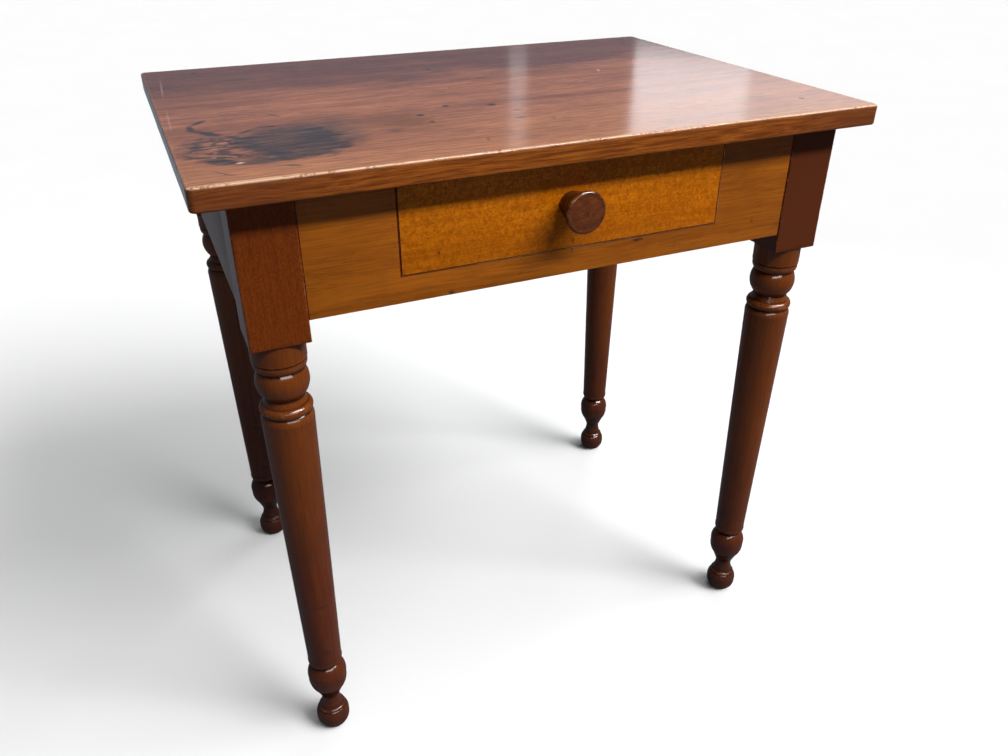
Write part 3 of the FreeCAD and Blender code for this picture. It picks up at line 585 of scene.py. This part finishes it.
def makeTurningTree():
    tree, given, result = newGroup(
        "turning",
        [("Outline", "Geometry"), ("Steps round", "Int"), ("Corner crowding", "Float"), ("Arris round", "Float"),
         ("Arris wear", "Float"), ("Wear size", "Float"), ("Pattern", "Float"), ("Place", "Vector"),
         ("Turn", "Vector"), ("Finish", "Material")],
        [("Piece", "Geometry")], "GeometryNodeTree")
    rows = putOne(tree, "GeometryNodeAttributeDomainSize", {0: given["Outline"]}, component="MESH")
    reach = minus(tree, rows, 1.0)
    columns = plus(tree, given["Steps round"], 1.0)
    sizes = {"Size X": 1.0, "Size Y": reach, "Vertices X": columns, "Vertices Y": rows}
    made = putOne(tree, "GeometryNodeMeshGrid", sizes)
    # where a vertex of the flat grid goes: its row of the outline, and its angle round the axis
    spot = split(tree, putOne(tree, "GeometryNodeInputPosition"))
    row = sums(tree, "ROUND", plus(tree, spot["Y"], times(tree, reach, 0.5)))
    step = times(tree, plus(tree, spot["X"], 0.5), 2 * math.pi)
    crowd = times(tree, sums(tree, "SINE", times(tree, step, 4.0)), times(tree, given["Corner crowding"], 0.25))
    angle = plus(tree, step, crowd)

    def read(source, kind="FLOAT"):
        values = {"Geometry": given["Outline"], "Value": source, "Index": row}
        return putOne(tree, "GeometryNodeSampleIndex", values, data_type=kind, domain="POINT")

    def readShare(label):
        return read(putOne(tree, "GeometryNodeInputNamedAttribute", {"Name": label}, data_type="FLOAT"))

    outline = split(tree, read(putOne(tree, "GeometryNodeInputPosition"), "FLOAT_VECTOR"))
    radius, height = outline["X"], outline["Z"]
    square, crest, cavity = (readShare(label) for label in ("square", "crest", "cavity"))
    across, along = sums(tree, "COSINE", angle), sums(tree, "SINE", angle)
    outward = joined(tree, across, along)
    longest = larger(tree, unsigned(tree, across), unsigned(tree, along))
    side = scaled(tree, outward, sums(tree, "DIVIDE", radius, longest))
    lifted = joined(tree, 0.0, 0.0, height)
    # the arrises of the square part are rounded, more where they are worn
    values = {"Vector": vectors(tree, "ADD", side, lifted), "W": given["Pattern"], "Scale": given["Wear size"],
              "Detail": 3.0}
    rub = spread(tree, putOne(tree, "ShaderNodeTexNoise", values, noise_dimensions="4D"), 0.42, 0.72, soft=False)
    arris = plus(tree, given["Arris round"], times(tree, rub, given["Arris wear"]))
    core = minus(tree, radius, arris)
    top = joined(tree, core, core)
    held = vectors(tree, "MAXIMUM", vectors(tree, "MINIMUM", side, top), scaled(tree, top, -1.0))
    way = vectors(tree, "NORMALIZE", vectors(tree, "SUBTRACT", side, held))
    rounded = vectors(tree, "ADD", held, scaled(tree, way, arris))
    shapes = {0: square, 4: scaled(tree, outward, radius), 5: rounded}
    mixed = put(tree, "ShaderNodeMix", shapes, data_type="VECTOR").outputs[1]
    ways = split(tree, way)
    corner = sums(tree, "MINIMUM", unsigned(tree, ways["X"]), unsigned(tree, ways["Y"]))
    corner = times(tree, times(tree, corner, 1.6, True), square)
    wear = larger(tree, corner, times(tree, crest, minus(tree, 1.0, square)))
    facing = times(tree, spread(tree, unsigned(tree, ways["X"]), 0.7, 0.95, soft=False), square)
    for label, value in (("wear", wear), ("cavity", cavity), ("post", square), ("side", facing)):
        made = putOne(tree, "GeometryNodeStoreNamedAttribute", {"Geometry": made, "Name": label, "Value": value},
                      data_type="FLOAT", domain="POINT")
    moved = {"Geometry": made, "Position": vectors(tree, "ADD", mixed, lifted)}
    merged = {"Geometry": putOne(tree, "GeometryNodeSetPosition", moved), "Distance": 0.00001}
    placed = {"Geometry": putOne(tree, "GeometryNodeMergeByDistance", merged), "Translation": given["Place"],
              "Rotation": given["Turn"]}
    return endTree(tree, putOne(tree, "GeometryNodeTransform", placed), given["Finish"], result["Piece"])


def arcBetween(start, end, bulge, steps):
    # points after start up to end on an arc that stands out by bulge
    (r0, z0), (r1, z1) = start, end
    shares = [k / steps for k in range(1, steps + 1)]
    if bulge == 0:
        return [(r0 + (r1 - r0) * share, z0 + (z1 - z0) * share) for share in shares]
    chord = math.dist(start, end)
    radius = (chord * chord / 4 + bulge * bulge) / (2 * abs(bulge))
    back = math.copysign(radius - abs(bulge), bulge)
    rMiddle = (r0 + r1) / 2 - (z1 - z0) / chord * back
    zMiddle = (z0 + z1) / 2 + (r1 - r0) / chord * back
    first = math.atan2(z0 - zMiddle, r0 - rMiddle)
    sweep = math.atan2(z1 - zMiddle, r1 - rMiddle) - first
    sweep = (sweep + math.pi) % (2 * math.pi) - math.pi
    angles = [first + sweep * share for share in shares]
    return [(rMiddle + radius * math.cos(angle), zMiddle + radius * math.sin(angle)) for angle in angles]


def followOutline(runs, finest=1.1, longest=6.0):
    # a point on the axis, then every run cut into short steps
    radius, height = runs[0][:2]
    points = [(0.0, height), (radius * 0.6, height), (radius, height)]
    for start, (*end, bulge) in zip(runs, runs[1:]):
        chord = math.dist(start[:2], end)
        steps = max(1, math.ceil(chord / (finest if chord < 60 else longest)))
        points += arcBetween(start[:2], end, bulge, steps)
    return points


def outlineMesh(name, points, squares):
    # the outline as a row of vertices, with how convex or hollow it is at each
    mesh = bpy.data.meshes.new(name)
    mesh.from_pydata([(r / 1000, 0, z / 1000) for r, z in points], [(k, k + 1) for k in range(len(points) - 1)], [])
    lengths = [0.0]
    for a, b in zip(points, points[1:]):
        lengths.append(lengths[-1] + math.dist(a, b))

    def radiusAt(distance):
        distance = min(max(distance, 0.0), lengths[-1])
        k = max(i for i in range(len(lengths)) if lengths[i] <= distance + 1e-9)
        if k == len(points) - 1:
            return points[-1][0]
        share = (distance - lengths[k]) / max(lengths[k + 1] - lengths[k], 1e-9)
        return points[k][0] + (points[k + 1][0] - points[k][0]) * share

    # a point is compared with the outline on both sides, this far off in mm
    window, crestRise, hollowRise = 2.2, 0.75, 0.7
    crest, cavity = [], []
    for (r, z), length, square in zip(points, lengths, squares):
        rise = r - (radiusAt(length - window) + radiusAt(length + window)) / 2
        crest.append(clipped(rise / crestRise - 0.12) * (1 - square))
        cavity.append(clipped(-rise / hollowRise - 0.05) * (1 - square))
    addShares(mesh, "POINT", {"square": squares, "crest": crest, "cavity": cavity})
    return mesh


turningTree = makeTurningTree()


def makeTurned(name, points, look, finish, place=(0, 0, 0), turn=(0, 0, 0), pattern=0.0, squares=None):
    values = {
        "Steps round": look["stepsRound"], "Corner crowding": look.get("crowding", 0.0), "Wear size": 22.0,
        "Arris round": look.get("arris", 1) / 1000, "Arris wear": look.get("arrisWear", 0) / 1000,
        "Pattern": pattern, "Place": [k / 1000 for k in place], "Turn": turn, "Finish": finishes[finish]}
    outline = outlineMesh(name + "_outline", points, squares or [0.0] * len(points))
    mesh = runTree(name, outline, turningTree, values)
    sharpen(mesh)
    return newPiece(name, mesh)


leg = {
    "axes": {"leg_front_left": (-307.5, -207), "leg_front_right": (307.5, -207),
             "leg_back_left": (-307.5, 207), "leg_back_right": (307.5, 207)},
    # radius, height and the bulge of the run up to there, in mm, from the floor
    "outline": [
        (13, 0, 0), (20.5, 17.5, 2.5), (17.2, 29.5, 1.2), (16.3, 30.3, 0), (16.9, 31.2, 0.2), (15.4, 33.8, 0.4),
        (14.5, 34.4, 0), (12.6, 41, -0.5), (12.2, 55, -1.2), (18.2, 69, 0), (23.4, 89, 1.9), (15.5, 111, 3.4),
        (20.5, 123, 2.4), (27.4, 474.2, 0), (24.4, 484.2, 1.2), (23, 495.2, 3.7), (19.9, 502.7, 0),
        (23.3, 534.7, 5.7), (26.6, 545.3, 2), (26.9, 545.9, 0), (27.8, 546.5, 0), (27.8, 569.5, 0)],
    "postHalf": 29.5, "postTop": 718, "rowHeight": 4, "arris": 1.3, "arrisWear": 1.6, "stepsRound": 112,
    "crowding": 0.86, "patternStep": 7.3,
}


def makeLegs():
    turned = followOutline(leg["outline"])
    half, foot, top = leg["postHalf"], leg["outline"][-1][1], leg["postTop"]
    count = round((top - foot) / leg["rowHeight"])
    post = [(half - 0.5, foot), (half - 0.15, foot + 0.15), (half, foot + 0.5)]
    post += [(half, foot + (top - foot) * k / count) for k in range(1, count + 1)]
    points = turned + post + [(0, top)]
    squares = [0.0] * len(turned) + [1.0] * len(post) + [0.0]
    for number, (node, axis) in enumerate(leg["axes"].items()):
        pattern = number * leg["patternStep"] + 1
        piece = makeTurned("turned_" + node, points, leg, "legWood", (*axis, 0), pattern=pattern, squares=squares)
        settle(piece, "table", node)


knob = {
    "outline": [(7, 0, 0), (7, 20, 0), (13.6, 20, 0), (14.2, 23, 0), (21.6, 48.5, -0.7), (18.6, 53.3, 2.1),
                (18, 53.1, 0)],
    "place": (0, -215, 669.15), "dome": 2.2, "domeSteps": 12, "stepsRound": 96,
}


def makeKnob():
    points = followOutline(knob["outline"], 0.9)
    rim, height = knob["outline"][-1][:2]
    dome, steps = knob["dome"], knob["domeSteps"]
    ball = (rim * rim + dome ** 2) / (2 * dome)
    for k in range(1, steps + 1):
        r = rim * (1 - k / steps)
        points.append((r, height + math.sqrt(ball * ball - r * r) - (ball - dome)))
    piece = makeTurned("turned_knob", points, knob, "knobWood", knob["place"], (math.pi / 2, 0, 0), 3.0)
    settle(piece, "drawer", "drawer_knob")


makeLegs()
makeKnob()
print("turned legs and knob made")


# the top: a board with worn arrises, swept round its outline

board = {
    "halfLength": 368, "halfDepth": 262.5, "foot": 718, "top": 740, "upperRound": 2.2, "lowerRound": 2.4,
    "corner": 6.5, "leastCorner": 0.4, "cornerSteps": 8, "pitch": 3.0,
    # how deep rubbing and dents bite into the arris, and how far the edge waves, in mm
    "rub": 0.5, "rubShare": 0.55, "dent": 0.6, "wave": 0.25,
    # how close together they come: the higher, the closer
    "rubSize": 23, "fineRubSize": 110, "dentSize": 160, "waveSize": 9,
    # share of wear down the upper arris, then along the lower one; on the upper arris it also paints a pale line that
    # is partly a painted highlight
    "upperWearAndHighlight": (0.15, 0.7, 1, 0.75, 0.3, 0.1, 0.03), "lowerWear": 0.12,
}


def planLoop(inset):
    # points of the rounded outline, moved in by inset, with the way outwards at each
    hx, hy, corner, steps = (board[key] for key in ("halfLength", "halfDepth", "corner", "cornerSteps"))
    left = max(corner - inset, board["leastCorner"])
    result = []
    for sx, sy, start in ((1, 1, 0), (-1, 1, 90), (-1, -1, 180), (1, -1, 270)):
        cx, cy = sx * (hx - inset - left), sy * (hy - inset - left)
        for k in range(steps + 1):
            angle = math.radians(start + 90 * k / steps)
            nx, ny = math.cos(angle), math.sin(angle)
            result.append((cx + left * nx, cy + left * ny, nx, ny))
        long = start in (0, 180)
        count = round(2 * ((hx if long else hy) - corner) / board["pitch"])
        x0, y0 = result[-1][:2]
        x1, y1 = (-x0, y0) if long else (x0, -y0)
        way = (0, sy) if long else (sx, 0)
        result += [(x0 + (x1 - x0) * k / count, y0 + (y1 - y0) * k / count, *way) for k in range(1, count)]
    return result


def topSection():
    # inset, height, share of wear and painted highlight, and share of rim, from the upper face round the edge to the
    # lower one
    up, low, top, foot = (board[key] for key in ("upperRound", "lowerRound", "top", "foot"))
    section = [(16, top, 0, 0), (7, top, 0, 0), (4.2, top, 0, 0), (3, top, 0.25, 0.0)]
    last = len(board["upperWearAndHighlight"]) - 1
    for k, wear in enumerate(board["upperWearAndHighlight"]):
        angle = math.radians(90 * k / last)
        section.append((up - up * math.sin(angle), top - up + up * math.cos(angle), wear, k / last))
    section += [(0, top - up - 1.2, 0.02, 1), (0, top - up - 3.2, 0, 1)]
    section += [(0, foot + low + 5 - 2.3 * k, 0, 1) for k in range(3)]
    for k in range(9):
        angle = math.radians(90 * k / 8)
        section.append((low - low * math.cos(angle), foot + low - low * math.sin(angle), board["lowerWear"], 1))
    return section + [(9, foot, 0, 0.5), (16, foot, 0, 0)]


def wornSpot(x, y, nx, ny, height, wear, rim, upper):
    # a spot of the edge, moved in by wear, dents and a slow wave
    spot = Vector((x, y, 0)) / 1000
    rub = noise.noise(spot * board["rubSize"]) * 0.9 + noise.noise(spot * board["fineRubSize"]) * 0.5
    rub = max(rub, -0.1) + 0.25
    dent = max(noise.noise(spot * board["dentSize"] + Vector((7, 3, 1))) - 0.38, 0) * 3
    wave = (noise.noise(spot * board["waveSize"] + Vector((0, 0, 4))) + 0.6) * board["wave"] if rim > 0.5 else 0
    bite = wear * max(board["rub"] * rub * board["rubShare"] + board["dent"] * dent, 0)
    inward = bite + max(wave, 0)
    down = bite if upper else -bite
    return (x - nx * inward) / 1000, (y - ny * inward) / 1000, (height - down) / 1000


def paleWearAndHighlight(x, nx, ny, inset, wear):
    # the arris is pale along the front, partly rubbed and partly a painted highlight, with pale bands of painted
    # highlight beside it at the left part and the right part of the front, less on the right and hardly at the back
    # and on the left
    if ny < -0.5:
        if inset in (3, 4.2) and x < -270:
            return 0.7
        return 0.6 if inset == 3 and x > -110 else wear
    return wear * (0.6 if nx > 0.5 else 0.25)


def makeTop():
    section = topSection()
    rings = [planLoop(row[0]) for row in section]
    vertices = []
    shares = {"wear": [], "rim": [], "side": [], "under": [], "cavity": []}
    for ring, (inset, height, wear, rim) in zip(rings, section):
        upper = height > (board["foot"] + board["top"]) / 2
        for x, y, nx, ny in ring:
            vertices.append(wornSpot(x, y, nx, ny, height, wear, rim, upper))
            # the pale arris line: wear, partly a painted highlight
            shares["wear"].append(paleWearAndHighlight(x, nx, ny, inset, wear if upper else 0))
            shares["rim"].append(rim)
            shares["side"].append(rim * clipped((abs(nx) - 0.7) / 0.25))
            shares["under"].append(1.0 if height < board["foot"] + 0.1 else 0.0)
            shares["cavity"].append(0.0)
    around, last = len(rings[0]), len(vertices) - len(rings[0])
    faces = []
    for first in range(0, last, around):
        for k in range(around):
            n = (k + 1) % around
            faces.append((first + k, first + around + k, first + around + n, first + n))
    faces.append(tuple(range(around)))
    faces.append(tuple(range(len(vertices) - 1, last - 1, -1)))
    mesh = bpy.data.meshes.new("worn_tabletop")
    mesh.from_pydata(vertices, [], faces)
    addShares(mesh, "POINT", shares)
    mesh.materials.append(finishes["topWood"])
    sharpen(mesh, 40)
    settle(newPiece("worn_tabletop", mesh), "table", "tabletop")


makeTop()
print("tabletop made")


# boards of the frame and the drawer's front: the solid's own shape with eased, worn edges

boards = {
    # finish, slot, body, easing of the edges in mm, outward side
    "front_apron": ("apronWood", "apron_wood", "table", 0.7, "front"),
    "back_apron": ("apronWood", "apron_wood", "table", 0.8, "back"),
    "left_apron": ("sideApronWood", "apron_wood", "table", 0.8, "left"),
    "right_apron": ("sideApronWood", "apron_wood", "table", 0.8, "right"),
    "drawer_front": ("drawerFrontWood", "drawer_front_wood", "drawer", 0.8, "front"),
}
outwards = {"front": (1, -1), "back": (1, 1), "left": (0, -1), "right": (0, 1)}
# which edges are eased, in m and radians, and where the dirt and painted gap shade in them grow thin and how thin
easing = {"shortest": 0.012, "bluntest": 1.0, "level": 0.00002, "lowerEdge": 0.002, "thinFrom": 0.035, "thin": 0.35}


def solidShape(node):
    work = bmesh.new()
    work.from_mesh(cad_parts[node].data)
    bmesh.ops.remove_doubles(work, verts=work.verts, dist=0.00001)
    return work


def makeBoard(node, finish, slot, body, ease, side):
    work = solidShape(node)
    bmesh.ops.dissolve_limit(work, angle_limit=math.radians(0.5), verts=work.verts, edges=work.edges)
    axis, sign = outwards[side]
    face = max(vertex.co[axis] * sign for vertex in work.verts)

    def crisp(edge):
        long = edge.calc_length() > easing["shortest"]
        return long and len(edge.link_faces) == 2 and edge.calc_face_angle() > easing["bluntest"]

    def onFace(edge):
        return all(abs(vertex.co[axis] * sign - face) < easing["level"] for vertex in edge.verts)

    eased = [edge for edge in work.edges if crisp(edge) and onFace(edge)]
    made = bmesh.ops.bevel(work, geom=eased, offset=ease / 1000, offset_type="OFFSET", segments=3, profile=0.5,
                           affect="EDGES", clamp_overlap=True)
    rims = set(made["faces"])
    low = min(vertex.co.z for vertex in work.verts) + easing["lowerEdge"]
    # the lower edge is rubbed, and the others hold dirt and painted shade of the gaps, less of it on the right
    shares = {"wear": [], "cavity": []}
    for polygon in work.faces:
        spot = polygon.calc_center_median()
        rim, lower = polygon in rims, spot.z < low
        shares["wear"].append(1.0 if rim and lower else 0.0)
        dirtAndGapShade = easing["thin"] if spot.x > easing["thinFrom"] else 1.0
        shares["cavity"].append(dirtAndGapShade if rim and not lower else 0.0)
    mesh = bpy.data.meshes.new("eased_" + node)
    work.to_mesh(mesh)
    work.free()
    mesh.materials.append(finishes[finish])
    addShares(mesh, "FACE", shares)
    sharpen(mesh, 40)
    settle(newPiece("eased_" + node, mesh), body, node)


for node, look in boards.items():
    makeBoard(node, *look)
print("boards made:", len(boards))


# nails and screws, set where the solids have them

def nail(shoulder, tip, body):
    outline = [(2.3, 0, 0), (2.8, 0.4, 0), (2.8, 1.1, 0), (1.1, 1.3, 0), (1.1, shoulder, 0), (0.1, tip, 0)]
    return {"outline": outline, "slot": (0, 0), "stepsRound": 16, "body": body}


fasteners = {
    "top_screws": {
        "outline": [
            (4.4, 0, 0), (2.2, 2.6, 0), (1.6, 3.4, 0), (1.6, 30, 0), (2.1, 30.6, 0), (1.3, 31.6, 0), (2.1, 32.6, 0),
            (1.3, 33.6, 0), (2.1, 34.6, 0), (1.3, 35.6, 0), (2.0, 36.6, 0), (1.2, 37.6, 0), (1.8, 38.6, 0),
            (0.8, 41, 0), (0.1, 44, 0)],
        "slot": (1.1, 1.2), "stepsRound": 24, "body": "table"},
    "guide_nails": nail(27, 31, "table"),
    "drawer_bottom_nails": nail(20, 24, "drawer"),
}


def makeSettingTree():
    # sets one fastener at each point, turned along the point's own aim
    tree, given, result = newGroup(
        "fastenerSetting",
        [("Points", "Geometry"), ("Fastener", "Object"), ("Slot width", "Float"), ("Slot depth", "Float"),
         ("Finish", "Material")],
        [("Fasteners", "Geometry")], "GeometryNodeTree")
    single = put(tree, "GeometryNodeObjectInfo", {"Object": given["Fastener"]}).outputs["Geometry"]
    block = joined(tree, 0.02, given["Slot width"], times(tree, given["Slot depth"], 2.0))
    cut = put(tree, "GeometryNodeMeshBoolean", {}, operation="DIFFERENCE", solver="EXACT")
    feed(tree, cut.inputs, {"Mesh 1": single, "Mesh 2": putOne(tree, "GeometryNodeMeshCube", {"Size": block})})
    wide = sums(tree, "GREATER_THAN", given["Slot width"], 0.0001)
    choice = {"Switch": wide, "False": single, "True": cut.outputs[0]}
    slotted = putOne(tree, "GeometryNodeSwitch", choice, input_type="GEOMETRY")
    aim = putOne(tree, "GeometryNodeInputNamedAttribute", {"Name": "aim"}, data_type="FLOAT_VECTOR")
    turn = putOne(tree, "FunctionNodeAlignRotationToVector", {"Vector": aim}, axis="Z")
    placed = {"Points": given["Points"], "Instance": slotted, "Rotation": turn}
    made = putOne(tree, "GeometryNodeInstanceOnPoints", placed)
    return endTree(tree, made, given["Finish"], result["Fasteners"])


def fastenerPlaces(node):
    # the middle of each fastener's head and the way it points, read from the solid model
    work = solidShape(node)
    work.verts.index_update()
    met = set()
    places = []
    for start in work.verts:
        if start.index in met:
            continue
        met.add(start.index)
        group = [start]
        for vertex in group:
            for link in vertex.link_edges:
                other = link.other_vert(vertex)
                if other.index not in met:
                    met.add(other.index)
                    group.append(other)
        spots = [vertex.co.copy() for vertex in group]
        tip = max(spots, key=lambda spot: sum((spot - other).length_squared for other in spots))
        rest = sorted(spots, key=lambda spot: -(spot - tip).length)
        head = [spot for spot in rest if (spot - tip).length > (rest[0] - tip).length - 0.0006]
        middle = sum(head, Vector()) / len(head)
        places.append((middle, (tip - middle).normalized()))
    work.free()
    return places


def makeFasteners():
    tree = makeSettingTree()
    for node, look in fasteners.items():
        one = makeTurned(node + "_one", followOutline(look["outline"], 3.0), look, "oldSteel")
        places = fastenerPlaces(node)
        mesh = bpy.data.meshes.new(node + "_places")
        mesh.from_pydata([tuple(middle) for middle, aim in places], [], [])
        layer = mesh.attributes.new("aim", "FLOAT_VECTOR", "POINT")
        layer.data.foreach_set("vector", [part for middle, aim in places for part in aim])
        wide, deep = look["slot"]
        values = {"Fastener": one, "Slot width": wide / 1000, "Slot depth": deep / 1000,
                  "Finish": finishes["oldSteel"]}
        made = runTree("set_" + node, mesh, tree, values)
        bpy.data.objects.remove(one)
        sharpen(made)
        settle(newPiece("set_" + node, made), look["body"], node)
        print(node, "set:", len(places))


makeFasteners()


# pieces kept as the solid model has them

kept = {
    "bareWoodAcross": ["drawer_back", "drawer_bottom"],
    "bareWoodDeep": ["drawer_side_left", "drawer_side_right", "runner_left", "runner_right", "guide_left",
                     "guide_right", "stop_left", "stop_right"],
}
for finish, nodes in kept.items():
    for node in nodes:
        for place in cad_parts[node].material_slots:
            place.material = finishes[finish]
    print(finish, "on:", len(nodes))


# floor, light and camera

view = {"place": (-0.4026, -0.9717, 0.9534), "pitch": math.pi / 2 - 0.5306, "turn": -0.4181, "lens": 30.27}
studio = {
    # how pale the floor looks, how much it throws back, and how much it glows, to the eye and in reflections
    "floorColour": (0.81, 0.81, 0.81), "floorBounce": (0.18, 0.18, 0.18), "floorLift": 0.0, "floorShine": 0.10,
    "floorHalf": 40, "reflected": (0.38, 0.48, 0.58), "world": 0.07, "windowTint": (0.94, 1.0, 1.03),
    # strength, spread in degrees, the way it comes from and whether only the floor takes it
    "suns": {"floorSun": (3.15, 30, (0.9, -1.0, 1.05), True), "floorSky": (1.2, 70, (0.3, -0.5, 1.0), True),
             "high": (0.9, 25, (1.0, -0.4, 1.3), False)},
    # long low lamps: strength, middle, length and height, the spot looked at, whether they only make highlights
    "strips": {"strip": (45.5, (3.4, -4.0, 5.56), (6.8, 0.8), (3.4, -0.235, 0.68), False),
               "glint": (44, (-0.03, -1.3, 1.15), (1.2, 0.18), (-0.03, -0.235, 0.45), True),
               "highGlint": (120, (1.65, -1.35, 2.78), (2.8, 0.8), (1.65, -0.235, 0.5), True)},
    # upright lamps behind the table: strength, bearings from the camera in degrees, low and high edge, distance
    "panels": {"window": (4.05, (32.3, 39.5), (0.95, 2.2), 2.6), "wideWindow": (2.25, (39.5, 60.0), (0.95, 2.2), 2.6),
               "slit": (1.15, (24.3, 25.4), (0.95, 2.2), 2.6)},
}


def seenAtAll(tree, path):
    return larger(tree, path["Is Camera Ray"], larger(tree, path["Is Glossy Ray"], path["Is Transmission Ray"]))


def makeFloor():
    half = studio["floorHalf"]
    mesh = bpy.data.meshes.new("studio_floor")
    mesh.from_pydata([(-half, -half, 0), (half, -half, 0), (half, half, 0), (-half, half, 0)], [], [(0, 1, 2, 3)])
    floor = newPiece("studio_floor", mesh)
    material = bpy.data.materials.new("paleFloor")
    material.use_nodes = True
    tree = material.node_tree
    tree.nodes.clear()
    output = tree.nodes.new("ShaderNodeOutputMaterial")
    cloud = grainNoise(tree, tree.nodes.new("ShaderNodeTexCoord").outputs["Object"], 3.0, 2.0, 0.5)
    path = tree.nodes.new("ShaderNodeLightPath").outputs
    seen = seenAtAll(tree, path)

    def mottled(tone):
        return blendColour(tree, cloud, tone, tuple(k * 0.97 for k in tone))

    pale, bounce = mottled(studio["floorColour"]), mottled(studio["floorBounce"])
    pale = blendColour(tree, path["Is Glossy Ray"], pale, studio["reflected"], "MULTIPLY")
    matt = putOne(tree, "ShaderNodeBsdfDiffuse", {"Color": blendColour(tree, seen, bounce, pale)})
    shine = spread(tree, path["Is Glossy Ray"], 0.0, 1.0, studio["floorLift"], studio["floorShine"], False)
    glow = putOne(tree, "ShaderNodeEmission", {"Color": (1, 1, 1, 1), "Strength": shine})
    none = putOne(tree, "ShaderNodeEmission", {"Strength": 0.0})
    lift = putOne(tree, "ShaderNodeMixShader", {0: seen, 1: none, 2: glow})
    feed(tree, output.inputs, {0: putOne(tree, "ShaderNodeAddShader", {0: matt, 1: lift})})
    mesh.materials.append(material)
    return floor


def makeWorld():
    world = bpy.data.worlds.new("studio")
    scene.world = world
    world.use_nodes = True
    tree = world.node_tree
    tree.nodes.clear()
    path = tree.nodes.new("ShaderNodeLightPath").outputs
    strength = spread(tree, seenAtAll(tree, path), 0.0, 1.0, studio["world"], 1.0, False)
    tint = blendColour(tree, path["Is Glossy Ray"], (1, 1, 1), studio["reflected"])
    backdrop = putOne(tree, "ShaderNodeBackground", {"Color": tint, "Strength": strength})
    tree.links.new(backdrop, tree.nodes.new("ShaderNodeOutputWorld").inputs[0])


def reach(lamp, floor, floorOnly):
    # the floor takes its soft shadow from lamps of its own, and the table its light from the others
    lit = bpy.data.collections.new(lamp.name + "_reach")
    lit.objects.link(floor)
    lamp.light_linking.receiver_collection = lit
    if not floorOnly:
        lit.collection_objects[0].light_linking.link_state = "EXCLUDE"


def addAreaLamp(name, power, long, high, place, turn):
    light = bpy.data.lights.new(name, "AREA")
    light.shape = "RECTANGLE"
    light.size, light.size_y = long, high
    light.energy = power * math.pi * long * high
    lamp = newPiece(name, light)
    lamp.location = place
    lamp.rotation_euler = turn
    lamp.visible_camera = False
    return lamp


def makeLamps(floor):
    for name, (power, wide, way, floorOnly) in studio["suns"].items():
        sun = bpy.data.lights.new(name, "SUN")
        sun.energy = power
        sun.angle = math.radians(wide)
        lamp = newPiece(name, sun)
        lamp.rotation_euler = Vector(way).to_track_quat("Z", "Y").to_euler()
        if floorOnly:
            reach(lamp, floor, True)
    for name, (power, middle, size, target, shineOnly) in studio["strips"].items():
        turn = (math.atan2(target[1] - middle[1], middle[2] - target[2]), 0, 0)
        lamp = addAreaLamp(name, power, *size, middle, turn)
        lamp.visible_diffuse = not shineOnly
        reach(lamp, floor, False)
    cx, cy = view["place"][:2]
    for name, (power, turns, (low, high), away) in studio["panels"].items():
        first, last = (math.radians(turn) for turn in turns)
        middle = (first + last) / 2
        width = 2 * away * math.tan((last - first) / 2)
        place = (cx + away * math.sin(middle), cy + away * math.cos(middle), (low + high) / 2)
        lamp = addAreaLamp(name, power, width, high - low, place, (-math.pi / 2, 0, -middle))
        lamp.data.color = studio["windowTint"]


def makeCamera():
    camera = bpy.data.cameras.new("view")
    camera.lens = view["lens"]
    camera.sensor_width = 36
    eye = newPiece("view", camera)
    eye.location = view["place"]
    eye.rotation_euler = (view["pitch"], 0, view["turn"])
    scene.camera = eye


makeWorld()
makeLamps(makeFloor())
makeCamera()
print("floor, light and camera made")
